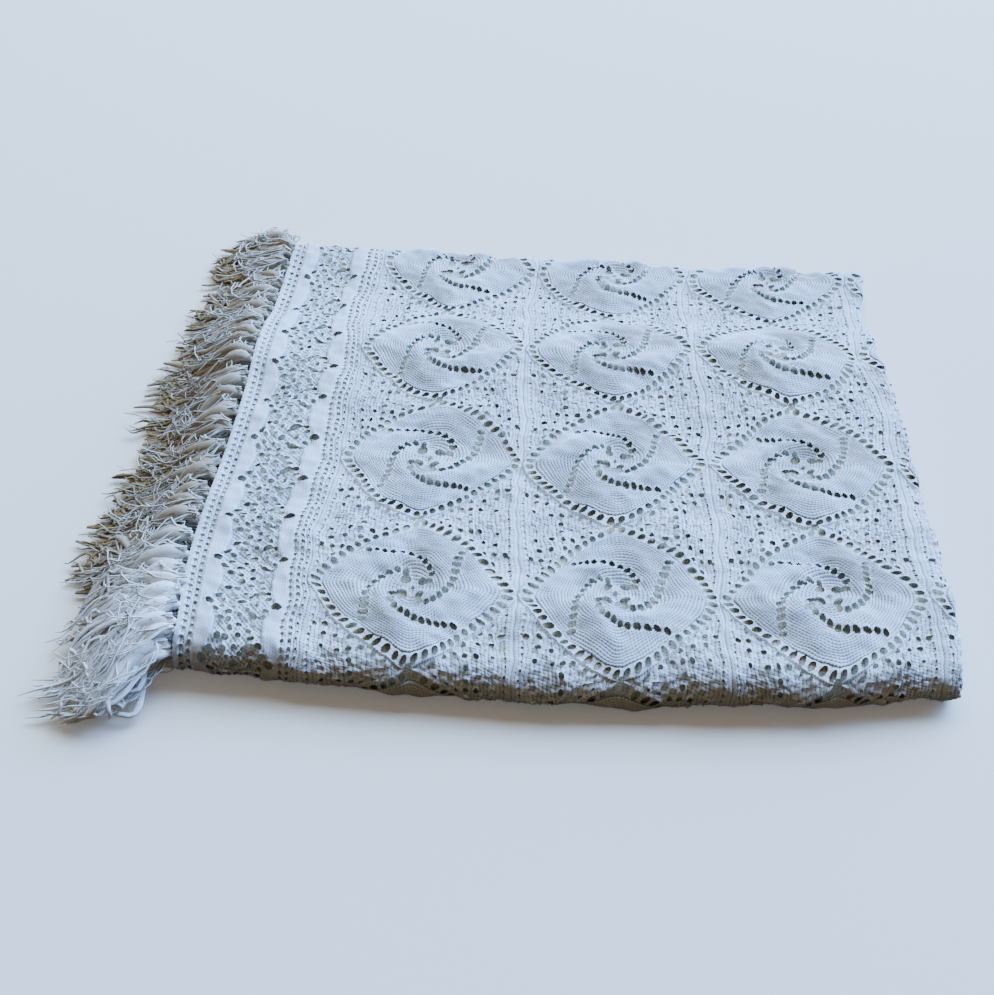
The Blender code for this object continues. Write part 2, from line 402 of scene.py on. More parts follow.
@dataclass
class Flat:
    """Flat crochet: points, how far each stands out, quads, and what the material reads.

    That is the count of ribs, the count of stitches along a rib, and the painted light and shade of the
    stitches: 1 for a painted highlight on the rim of a hole, 0 as a rule, and less where painted shade is.
    """

    points: Array
    lift: Array
    quads: Array
    stitch: Array

    @staticmethod
    def of_grid(points: Array, lift: Array, stitch: Array, keep: Array, closed: bool = False) -> "Flat":
        """Makes a patch of a grid of points.

        Args:
            points: Rows by columns by x and y, with a later column to the left of the one before it, as seen
                when looking along the rising rows.
            lift: Rows by columns.
            stitch: Rows by columns by the counts of ribs and of stitches.
            keep: Which cells have a face, rows by columns of cells.
            closed: Whether the last column joins the first.

        Returns:
            The patch.
        """
        columns = lift.shape[1]
        row, column = np.nonzero(keep)
        after = (column + 1) % columns if closed else column + 1
        start, end = row * columns, (row + 1) * columns
        quads = np.stack((start + column, end + column, end + after, start + after), axis=-1)
        stitch = np.concatenate((stitch, np.zeros_like(stitch[..., :1])), axis=-1)
        return Flat(points.reshape(-1, 2), lift.reshape(-1), quads, stitch.reshape(-1, 3))

    @staticmethod
    def joined(patches: Sequence["Flat"]) -> "Flat":
        """One patch out of several.

        Args:
            patches: The patches.

        Returns:
            The one patch.
        """
        starts = np.cumsum([0] + [len(p.points) for p in patches[:-1]])
        return Flat(
            np.concatenate([p.points for p in patches]),
            np.concatenate([p.lift for p in patches]),
            np.concatenate([p.quads + start for p, start in zip(patches, starts)]),
            np.concatenate([p.stitch for p in patches]),
        )

    @staticmethod
    def of_ribs(start: float, ribs: int, rib: float, places: Array, ridge: float, rows: int = 3) -> "Flat":
        """Makes a patch worked in ribs, each with edges of its own, so that it looks round.

        Args:
            start: Where the first rib starts in x.
            ribs: How many ribs.
            rib: Width of a rib.
            places: Where the points are in y.
            ridge: How far a rib's middle stands out and its edges stand back.
            rows: Points across a rib.

        Returns:
            The patch.
        """
        part = np.linspace(0, 1, rows)
        across = (np.arange(ribs)[:, None] + part).reshape(-1)
        y, x = np.meshgrid(places, start + across * rib)
        lift = np.tile(ridge * (2 * np.sin(math.pi * part) - 1), ribs)[:, None] * np.ones_like(x)
        keep = np.ones((len(across) - 1, len(places) - 1), bool)
        keep[rows - 1 :: rows] = False
        stitch = np.stack((across[:, None] * np.ones_like(x), y / STITCH), axis=-1)
        return Flat.of_grid(np.stack((x, y), axis=-1), lift, stitch, keep)

    def middle_of_quads(self) -> Array:
        """The middle of each quad."""
        return self.points[self.quads].mean(axis=1)

    def kept(self, keep: Array) -> "Flat":
        """The patch with only some of its quads, and the points that those need."""
        used, index = np.unique(self.quads[keep], return_inverse=True)
        return Flat(self.points[used], self.lift[used], index.reshape(-1, 4), self.stitch[used])

    def pierced(self, holes: Holes, rise: float, reach: float = 1.9, drawn: float = 1.7) -> "Flat":
        """Makes the holes, each with a raised rim of thread and a painted highlight on it.

        Args:
            holes: The holes.
            rise: How far the rims stand up.
            reach: How far out of a hole its rim starts to rise, 1 being the rim.
            drawn: How far out a point may be that is drawn to the rim to close its line.

        Returns:
            The patch with its holes.
        """
        out, _ = holes.nearness(self.middle_of_quads())
        keep = out > 1
        _, spot = np.unique(np.round(self.points, 5), axis=0, return_inverse=True)
        spot = spot.reshape(-1)
        cut = np.zeros(spot.max() + 1, bool)
        cut[spot[self.quads[~keep]]] = True
        beside = cut[spot]
        used = np.unique(self.quads[keep])
        rest = self.kept(keep)
        out, rim = holes.nearness(rest.points)
        inside = (out < 1) | (beside[used] & (out < drawn))
        rest.points[inside] = rim[inside]
        near = np.where(inside, 1, smooth_step(reach - out, 0, reach - 1))
        rest.lift = rest.lift + rise * near
        # Painted highlight on the rims, with less painted shade in their gaps.
        rest.stitch[:, 2] += (1 - rest.stitch[:, 2]) * near
        return rest

    def moved(self, width_at: float, length_at: float) -> "Flat":
        """The patch at a place on the cloth, its +Y towards the start of the length."""
        points = np.stack((width_at + self.points[:, 0], length_at - self.points[:, 1]), axis=-1)
        return Flat(points, self.lift, self.quads, self.stitch)


@dataclass
class LaceSquare:
    """One crocheted square: a solid diamond with four curling lines of eyelets, a frame and filet corners."""

    size: float = SQUARE
    rim_rise: float = 0.0006

    # The solid diamond: how far out its tips are, its rings and those of them that the middle takes up, the
    # points round a ring in each quarter of the way out, how much straighter its sides are at the edge than
    # in the middle, how far its rings stand out and their painted light (below 0, painted shade).
    tip: float = 0.0640
    rings: int = 24
    first_ring: int = 3
    ring_columns: tuple[int, ...] = (64, 128, 256, 256)
    straighter: float = 0.64
    ring_relief: float = 0.00058
    ring_painted_light: float = -0.04

    # The middle, from the cord that it is started on outwards: how far out each round is and how far it
    # stands out.
    middle_points: int = 48
    middle_rounds: tuple[tuple[float, float], ...] = (
        (0.0016, -0.0002),
        (0.0022, 0.0007),
        (0.0029, 0.0005),
        (0.0039, 0.0),
        (0.0049, 0.0004),
        (0.0060, 0.0),
        (0.0070, 0.0004),
    )

    # A line of eyelets, from the middle out: share of the tip's distance, and turn in degrees from its start.
    line: tuple[tuple[float, float], ...] = (
        (0.220, 22),
        (0.283, 36),
        (0.320, 48),
        (0.350, 63),
        (0.392, 77),
        (0.440, 90),
        (0.495, 101),
        (0.540, 111),
        (0.600, 119.5),
        (0.675, 127),
        (0.765, 133),
        (0.835, 137),
    )
    eyelet_pitch: float = 0.0064
    eyelet_across: float = 0.0034
    eyelet_along: float = 0.0024
    eyelet_slant: float = math.radians(24)
    # The larger eyelets round the middle: how far out, their turn, and half their length and width.
    inner_eyelets: tuple[float, float, float, float] = (0.0086, math.radians(38), 0.0040, 0.0031)
    # The arms between the lines: how far they puff up, how the dome leans and rounds off, and how much lower
    # it is at the tips.
    arm_puff: float = 0.0037
    arm_lean: float = 0.66
    arm_round: float = 0.95
    arm_fade: float = 0.60

    # The frame: how far out the tips of its outer edge are, the power of its outline, and its bars.
    frame_tip: float = 0.0760
    frame_power: float = 1.30
    bars_a_side: int = 13
    cells_a_bar: int = 5
    bar_lean: float = 0.35
    # A hole between two bars: half its length as a share of the frame's width, half its width as a share of
    # the pitch, and the most that each can be. Where two squares meet tip to tip, there is one of its own.
    bar_hole_shares: tuple[float, float] = (0.44, 0.36)
    bar_hole_limits: tuple[float, float] = (0.0040, 0.0029)
    tip_hole: tuple[float, float] = (0.0030, 0.0040)
    # Across the frame from the diamond to past the cord: how far over, and how far it stands out.
    frame_section: tuple[tuple[float, float], ...] = (
        (0.0, 0.0002),
        (0.14, 0.0004),
        (0.38, 0.0),
        (0.62, 0.0),
        (0.86, 0.0004),
        (1.0, 0.0009),
        (1.15, -0.0008),
    )

    # The filet corners: cells a side, how far the ribs stand out and wave, how far the corners lie back,
    # their painted light, and their soft bumps (size, height, and the share of painted light and shade on
    # them).
    corner_cells: int = 25
    rib_relief: float = 0.00026
    rib_wave: float = 0.0005
    rib_wave_length: float = 0.0125
    corner_depth: float = 0.0002
    corner_painted_light: float = 0.26
    bumps: tuple[float, float, float] = (0.0070, 0.00090, 0.50)
    bump_seed: int = 71
    # The open block beside each seam: how far off the seam its middle is, half its width and length,
    # and how much painted shade it has.
    block: tuple[float, float, float] = (0.0250, 0.0150, 0.0230)
    block_painted_shade: float = 0.56
    # The seam: half its width, how much flatter its ribs are, how far it stands out and how much further the
    # grooves beside it go in, and its painted light and their painted shade.
    seam_half: float = 0.0058
    seam_flatter: float = 0.6
    seam_relief: float = 0.0006
    groove_relief: float = 1.2
    seam_painted_light: float = 0.46
    groove_painted_shade: float = 0.20
    # The corner's chart of holes, in ribs from the square's corner: clusters of five, single ones with their
    # size, and a row of small ones beside the seam.
    clusters: tuple[tuple[float, float], ...] = ((11.4, 4.6), (5.3, 11.8))
    cluster: tuple[tuple[float, float], ...] = ((0, 0), (2.5, 0.3), (-2.5, -0.2), (0.1, 3.1), (-0.1, -3.0))
    cluster_hole: float = 0.70
    singles: tuple[tuple[float, float, float], ...] = (
        (8.2, 8.3, 0.62),
        (16.6, 3.4, 0.60),
        (19.0, 1.8, 0.50),
        (4.4, 16.8, 0.56),
        (4.9, 4.9, 0.54),
    )
    row_aside: float = 1.95
    row_start: float = 0.9
    row_pitch: float = 1.9
    row_holes: int = 12
    row_hole: float = 0.34
    hole_length: float = 1.15

    def power(self, ring: Array) -> Array:
        """Power of the ring's outline: 2 is a circle, 1 a diamond with straight sides."""
        return 2 - self.straighter * smooth_step(ring, 0.12, 0.95)

    def reach(self, ring: Array, angle: Array) -> Array:
        """Distance of a ring's outline from the middle, as a share of the tip's."""
        power = self.power(ring)
        return ring / (abs(np.cos(angle)) ** power + abs(np.sin(angle)) ** power) ** (1 / power)

    def line_rings(self) -> Array:
        """The rings that the points of the first line of eyelets lie on.

        Returns:
            Each ring as a share of the outermost one.
        """
        reach, turn = np.transpose(self.line)
        turn = np.radians(turn)
        crossed = reach.copy()
        for _ in range(12):
            crossed = crossed * reach / self.reach(crossed, turn)
        return crossed

    def line_angle(self, ring: Array) -> Array:
        """Direction of the first line of eyelets where it crosses a ring."""
        return np.interp(ring, self.line_rings(), np.radians([turn for _, turn in self.line]))

    def ring_points(self, ring: float, count: int) -> tuple[Array, Array]:
        """Points spread evenly round a ring, from the one towards +X on.

        Args:
            ring: The ring, as a share of the outermost one.
            count: How many points, a multiple of four.

        Returns:
            The points and their directions.
        """
        fine = np.linspace(0, math.pi / 2, 400)
        reach = self.reach(np.full_like(fine, ring), fine)
        steps = np.hypot(np.diff(reach * np.cos(fine)), np.diff(reach * np.sin(fine)))
        length = np.concatenate(([0], np.cumsum(steps)))
        quarter = np.interp(np.arange(count // 4) * length[-1] / (count // 4), length, fine)
        angle = np.concatenate([quarter + i * math.pi / 2 for i in range(4)])
        reach = self.tip * self.reach(np.full_like(angle, ring), angle)
        return np.stack((reach * np.cos(angle), reach * np.sin(angle)), axis=-1), angle

    def puff(self, ring: Array, angle: Array) -> Array:
        """How far an arm between two lines of eyelets puffs up.

        Args:
            ring: The ring of each place, as a share of the outermost one.
            angle: Its direction.

        Returns:
            The height at each place.
        """
        across = np.mod((angle - self.line_angle(ring)) / (math.pi / 2), 1)
        dome = np.sin(math.pi * across**self.arm_lean) ** self.arm_round
        fade = 1 - self.arm_fade * smooth_step(ring, 0.60, 1.0)
        return self.arm_puff * dome * smooth_step(ring, 0.10, 0.45) * fade

    def ring_strip(self, index: int) -> Flat:
        """One ring of stitches.

        Args:
            index: Which ring, from the middle out.

        Returns:
            The crochet.
        """
        low, high = index / self.rings, (index + 1) / self.rings
        levels = (low, (low + high) / 2, high)
        columns = self.ring_columns[4 * index // self.rings]
        rows = [self.ring_points(ring, columns) for ring in levels]
        points = np.stack([row[0] for row in rows])
        angle = np.stack([row[1] for row in rows])
        rings = np.array(levels)[:, None] * np.ones(columns)
        ridge = np.array([-1, 1, -1])[:, None] * self.ring_relief
        around = np.hypot(*np.diff(np.vstack((points[1], points[1][:1])), axis=0).T).sum()
        stitches = round(around / STITCH) * np.arange(columns) / columns
        count = np.stack((rings * self.rings, stitches[None, :] * np.ones((3, 1))), axis=-1)
        keep = np.ones((2, columns), bool)
        strip = Flat.of_grid(points, self.puff(rings, angle) + ridge, count, keep, closed=True)
        # Painted light, here below 0: a little more painted shade in the gaps.
        strip.stitch[:, 2] = self.ring_painted_light
        return strip

    def middle(self) -> Flat:
        """The small ring of cord that the square is started on, and the first rounds.

        Returns:
            The crochet.
        """
        around = np.linspace(0, 2 * math.pi, self.middle_points, endpoint=False)
        edge = self.first_ring / self.rings * self.tip
        reach, lift = np.transpose([*self.middle_rounds, (edge, 0.0)])[..., None]
        points = np.stack((reach * np.cos(around), reach * np.sin(around)), axis=-1)
        keep = np.ones((len(self.middle_rounds), self.middle_points), bool)
        return Flat.of_grid(points, lift + np.zeros_like(around), points / STITCH, keep, closed=True)

    def frame_points(self, inner: Array) -> Array:
        """Points of the outer edge of the frame, each straight out from one of the solid diamond's.

        Args:
            inner: The points of the diamond's edge.

        Returns:
            The points.
        """
        power = self.frame_power
        far = (abs(inner) ** power).sum(axis=1, keepdims=True) ** (1 / power)
        return inner / far * self.frame_tip

    def frame_strip(self) -> Flat:
        """The band of bars between the solid diamond and the filet corners, with the cord on its outside.

        Returns:
            The crochet, not yet pierced.
        """
        columns = 4 * self.bars_a_side * self.cells_a_bar
        inner, _ = self.ring_points(1.0, columns)
        outer = self.frame_points(inner)
        side = np.arange(columns) / (columns // 4)
        over, lift = np.transpose(self.frame_section)[..., None]
        shares = over[..., None]
        points = np.clip(inner * (1 - shares) + outer * shares, -self.size / 2, self.size / 2)
        ribs = over * 3 * np.ones(columns)
        stitches = side * 4 * self.bars_a_side * np.ones_like(over)
        keep = np.ones((len(over) - 1, columns), bool)
        lift = lift + np.zeros(columns)
        return Flat.of_grid(points, lift, np.stack((ribs, stitches), axis=-1), keep, closed=True)

    def corners(self) -> Flat:
        """The filet corners, worked in upright ribs, as one patch with the diamond left out.

        Returns:
            The crochet, not yet pierced.
        """
        half = self.size / 2
        places = np.linspace(-half, half, 4 * self.corner_cells + 1)
        ribbed = Flat.of_ribs(-half, 2 * self.corner_cells, RIB, places, self.rib_relief)
        x, y = ribbed.points.T
        aside = half - abs(x)
        seam = 1 - smooth_step(aside, self.seam_half - 0.0006, self.seam_half + 0.0006)
        grooves = 1 - smooth_step(abs(aside - self.seam_half), 0.0004, 0.0012)
        grooves = np.maximum(grooves, 1 - smooth_step(aside, 0.0, 0.0010))
        ribbed.lift = ribbed.lift * (1 - self.seam_flatter * seam)
        ribbed.lift += self.seam_relief * (seam - self.groove_relief * grooves)
        ribbed.lift -= self.corner_depth
        size, height, mottle = self.bumps
        uneven = ripple(x, y, size, self.bump_seed) * (1 - seam) * smooth_step(aside, self.seam_half, 0.012)
        ribbed.lift += height * uneven
        middle, wide, long = self.block
        block = 1 - smooth_step(abs(aside - middle) / wide + 0.7 * (half - abs(y)) / long, 0.85, 1.15)
        # Painted light and shade: the corners lighter, the open blocks darker, and the bumps lighter where
        # they stand up.
        shade = self.corner_painted_light - self.block_painted_shade * block + mottle * uneven
        # Painted light on the seam, and painted shade in the grooves beside it.
        bright = self.seam_painted_light * seam * (1 - grooves) - self.groove_painted_shade * grooves
        ribbed.stitch[:, 2] = bright + shade * (1 - seam)
        turn = 2 * math.pi * y / self.rib_wave_length + 0.8 * np.floor(ribbed.stitch[:, 0])
        ribbed.points[:, 0] = x + self.rib_wave * np.sin(turn) * (1 - seam) * smooth_step(aside, 0, 0.01)
        middle = abs(ribbed.middle_of_quads()) ** self.frame_power
        return ribbed.kept(middle.sum(axis=1) ** (1 / self.frame_power) > self.frame_tip + 0.0003)

    def eyelets(self) -> Holes:
        """The four curling lines of eyelets, and the larger ones round the middle.

        Returns:
            The holes.
        """
        holes = Holes()
        quarter = math.pi / 2
        line_reach, line_turn = np.transpose(self.line)
        known = np.arange(len(self.line))
        fine = np.linspace(0, known[-1], 300)
        turn = np.radians(smooth_table(known, line_turn, fine))
        reach = self.tip * smooth_table(known, line_reach, fine)
        x, y = reach * np.cos(turn), reach * np.sin(turn)
        heading = np.unwrap(np.arctan2(np.gradient(y), np.gradient(x)))
        length = np.concatenate(([0], np.cumsum(np.hypot(np.diff(x), np.diff(y)))))
        for place in np.arange(0, length[-1], self.eyelet_pitch):
            at = int(np.searchsorted(length, place))
            across = heading[at] + quarter + self.eyelet_slant
            for arm in range(4):
                direction = turn[at] + arm * quarter
                middle = (reach[at] * math.cos(direction), reach[at] * math.sin(direction))
                holes.add(*middle, across + arm * quarter, self.eyelet_across, self.eyelet_along)
        out, first, long, wide = self.inner_eyelets
        for arm in range(4):
            direction = first + arm * quarter
            holes.add(out * math.cos(direction), out * math.sin(direction), direction + quarter, long, wide)
        return holes

    def frame_holes(self) -> Holes:
        """The holes between the frame's bars, and the one where two squares meet tip to tip.

        Returns:
            The holes.
        """
        holes = Holes()
        inner, _ = self.ring_points(1.0, 4 * self.bars_a_side * 2)
        outer = self.frame_points(inner)
        for bar in range(4 * self.bars_a_side):
            start, end = inner[2 * bar + 1], outer[2 * bar + 1]
            across = end - start
            pitch = np.hypot(*(inner[2 * bar + 1] - inner[2 * bar - 1]))
            turn = math.atan2(across[1], across[0]) - self.bar_lean
            half_sizes = self.bar_hole_shares * np.array([np.hypot(*across), pitch])
            holes.add(*(start + across / 2), turn, *np.minimum(half_sizes, self.bar_hole_limits))
        for side in (-1, 1):
            holes.add(0, side * self.size / 2, 0, *self.tip_hole)
        return holes

    def corner_holes(self) -> Holes:
        """The holes of one corner's chart, repeated in all four.

        Returns:
            The holes.
        """
        holes = Holes()
        chart = [(x + a, y + b, self.cluster_hole) for x, y in self.clusters for a, b in self.cluster]
        chart += self.singles
        row = self.row_start + self.row_pitch * np.arange(self.row_holes)
        chart += [(self.row_aside, place, self.row_hole) for place in row]
        for x, y, size in chart:
            at_x, at_y = self.size / 2 - x * RIB, self.size / 2 - y * RIB
            for side in (-1, 1):
                for end in (-1, 1):
                    holes.add(side * at_x, end * at_y, 0, size * RIB, size * RIB * self.hole_length)
        return holes

    def flat(self) -> Flat:
        """The whole square, laid flat about its own middle.

        Returns:
            The crochet.
        """
        rings = [self.ring_strip(index) for index in range(self.first_ring, self.rings)]
        solid = Flat.joined([self.middle(), *rings]).pierced(self.eyelets(), self.rim_rise)
        frame_band = self.frame_strip().pierced(self.frame_holes(), self.rim_rise, 1.7)
        corners = self.corners().pierced(self.corner_holes(), self.rim_rise)
        return Flat.joined([solid, frame_band, corners])


@dataclass
class LaceBorder:
    """The lace along a fringed edge, one square long.

    It has a cord, lines of small holes, and two rows of solid points that face each other over netting.
    """

    width: float = BORDER
    length: float = SQUARE
    repeat: float = 0.050
    phase: float = 0.020
    ribs: int = 40
    cells: int = 120
    rib_relief: float = 0.00034
    rim_rise: float = 0.0006
    cord: float = 0.0040
    cord_relief: float = 0.0018
    # The two rows of solid points: how far in each row's band meets the netting and how far its points go
    # into that, how round they are, how far they stand out and their painted light.
    outer_points: tuple[float, float] = (0.0170, 0.0110)
    inner_points: tuple[float, float] = (0.0735, 0.0125)
    point_round: float = 0.4
    point_relief: float = 0.0015
    point_painted_light: float = 0.95
    # The netting: how far it heaves, how large its holes are beside the chart's, its mesh, and its painted
    # shade.
    net_relief: float = 0.0009
    net_holes: float = 1.26
    net_mesh: float = 0.0038
    net_shade: float = 0.64
    # The two lines of holes by the squares have a seam of small relief between them.
    ladder: tuple[float, float] = (0.0785, 0.0842)
    seam_relief: float = 0.0008
    # The lines of small holes, in millimetres: how far in, the pitch, where the first one is, and half the
    # length across the ribs and along them.
    hole_lines: tuple[tuple[float, float, float, float, float], ...] = (
        (5.4, 7.5, 0.0, 1.7, 1.6),
        (10.9, 7.5, -3.5, 1.9, 1.7),
        (78.5, 6.25, -3.5, 1.6, 1.8),
        (84.2, 6.25, 3.125, 1.6, 1.8),
        (89.3, 7.5, 2.25, 1.0, 1.4),
    )
    # One repeat of the netting, in millimetres: how far in and along a hole is, how long and wide, and its
    # slant in degrees. Each has its mirror image on the other side of the line that the solid points meet
    # on.
    chart: tuple[tuple[float, float, float, float, float], ...] = (
        (21.6, 0.0, 2.8, 2.6, 0),
        (27.3, 8.0, 2.7, 1.8, 45),
        (31.5, 3.2, 1.9, 1.6, 0),
        (32.0, 17.2, 2.3, 1.9, 20),
        (37.2, 10.6, 2.3, 1.9, -35),
        (37.6, 17.6, 2.0, 1.8, 0),
        (39.4, 25.0, 2.2, 1.6, 90),
        (40.5, 5.0, 1.4, 1.3, 0),
        (45.4, 0.0, 2.4, 2.2, 0),
        (45.2, 12.4, 1.6, 1.4, 0),
        (46.2, 20.6, 1.8, 1.6, 0),
        (49.8, 6.6, 1.5, 1.3, 0),
        (54.4, 11.4, 3.6, 2.2, 35),
        (53.0, 25.0, 1.7, 1.7, 0),
        (55.6, 18.6, 2.0, 1.6, 0),
        (56.0, 2.0, 1.5, 1.3, 0),
        (61.2, 12.6, 2.3, 1.7, -40),
        (62.8, 5.6, 2.2, 1.6, 40),
        (69.6, 0.0, 3.3, 2.7, 0),
    )

    def points(self, x: Array, y: Array) -> Array:
        """How solid the lace is: 1 on the two rows of points, 0 on the netting and the edge.

        Args:
            x: How far in from the outer edge.
            y: How far along.

        Returns:
            The share at each place.
        """
        along = np.mod((y - self.phase) / self.repeat, 1)
        bulge = np.clip(np.sin(math.pi * along), 0, 1) ** self.point_round
        (band, reach), (inner_band, inner_reach) = self.outer_points, self.inner_points
        outer = smooth_step(x, 0.0128, 0.0140) * smooth_step(band + reach * bulge - x, 0, 0.0024)
        inner = smooth_step(x - (inner_band - inner_reach * bulge), 0, 0.0030)
        inner = inner * smooth_step(0.0770 - x, 0, 0.0015)
        return np.maximum(outer, inner)

    def relief(self, flat: Flat) -> Array:
        """How far the lace stands out, but for its ribs.

        Args:
            flat: The crochet.

        Returns:
            The height at each point.
        """
        x, y = flat.points[:, 0], flat.points[:, 1]
        cord = 1 - smooth_step(abs(x - self.cord / 2), self.cord * 0.3, self.cord * 0.6)
        seam = 1 - smooth_step(abs(x - sum(self.ladder) / 2), 0.0008, 0.0022)
        net = np.sin(x / 0.0016 + 1.3 * np.sin(y / 0.0031)) * np.sin(y / 0.0017 + np.sin(x / 0.0027))
        net *= smooth_step(x, 0.024, 0.030) * smooth_step(0.066 - x, 0, 0.005)
        crochet = self.point_relief * self.points(x, y) + self.net_relief * net
        return crochet + self.cord_relief * cord + self.seam_relief * seam

    def brightness(self, flat: Flat) -> Array:
        """How much painted light the crochet gets: on the close solid points and the cord, with painted shade
        on the open net.

        Args:
            flat: The crochet.

        Returns:
            1 where the painted light is strongest, 0 where it is as elsewhere, less where there is painted
            shade.
        """
        x, y = flat.points[:, 0], flat.points[:, 1]
        cord = 1 - smooth_step(x, self.cord, self.cord + 0.001)
        net = smooth_step(x, 0.0150, 0.0200) * smooth_step(0.0740 - x, 0, 0.0060)
        close = self.points(x, y)
        return np.maximum(self.point_painted_light * close, cord) - self.net_shade * net * (1 - close)

    def holes(self) -> Holes:
        """The holes of the lace.

        Returns:
            The holes of one length.
        """
        holes = Holes()
        for x, pitch, first, across, along in self.hole_lines:
            for step in range(-20, 21):
                holes.add(x / 1000, (first + step * pitch) / 1000, 0, across / 1000, along / 1000)
        size = self.net_holes / 1000
        for repeat in range(-3, 4):
            for x, y, long, wide, slant in self.chart:
                for way in (-1, 1) if y else (1,):
                    place = repeat * self.repeat + self.phase + way * y / 1000
                    if abs(place) < self.length / 2 + 0.004:
                        holes.add(x / 1000, place, math.radians(way * slant), long * size, wide * size)
        return holes

    def flat(self) -> Flat:
        """The lace, laid flat, its outer edge at 0 and its length about 0.

        Returns:
            The crochet.
        """
        places = np.linspace(-self.length / 2, self.length / 2, self.cells + 1)
        ribbed = Flat.of_ribs(0, self.ribs, self.width / self.ribs, places, self.rib_relief)
        bright = self.brightness(ribbed)
        net = np.clip(-bright / self.net_shade, 0, 1)
        x, y = ribbed.points.T
        mesh = np.stack((x + y, x - y), axis=-1) / self.net_mesh
        ribbed.stitch[:, :2] = np.where(net[:, None] > 0.5, mesh, ribbed.stitch[:, :2])
        ribbed.lift = ribbed.lift * (1 - 0.85 * np.maximum(net, np.clip(bright, 0, 1))) + self.relief(ribbed)
        # The painted light and shade go to the material.
        ribbed.stitch[:, 2] = bright
        return ribbed.pierced(self.holes(), self.rim_rise, 1.7)


def linear(hex_colour: str) -> tuple[float, float, float, float]:
    """Turns an sRGB colour such as "#f2f4f6" to linear values.

    Args:
        hex_colour: The colour.

    Returns:
        Its red, green and blue, and an alpha of 1.
    """
    channels = [int(hex_colour[i : i + 2], 16) / 255 for i in (1, 3, 5)]
    values = [c / 12.92 if c <= 0.04045 else ((c + 0.055) / 1.055) ** 2.4 for c in channels]
    return (values[0], values[1], values[2], 1.0)


def add_node(
    tree: bpy.types.NodeTree, kind: str, links: dict | None = None, **settings: object
) -> bpy.types.Node:
    """Adds a shader node.

    Args:
        tree: The node tree.
        kind: The node's type name.
        links: What each input, by name or place, is linked to (an output socket) or set to (a value).
        settings: Properties of the node.

    Returns:
        The node.
    """
    node = tree.nodes.new(kind)
    for name, value in settings.items():
        setattr(node, name, value)
    for name, value in (links or {}).items():
        if isinstance(value, bpy.types.NodeSocket):
            tree.links.new(value, node.inputs[name])
        else:
            node.inputs[name].default_value = value
    return node


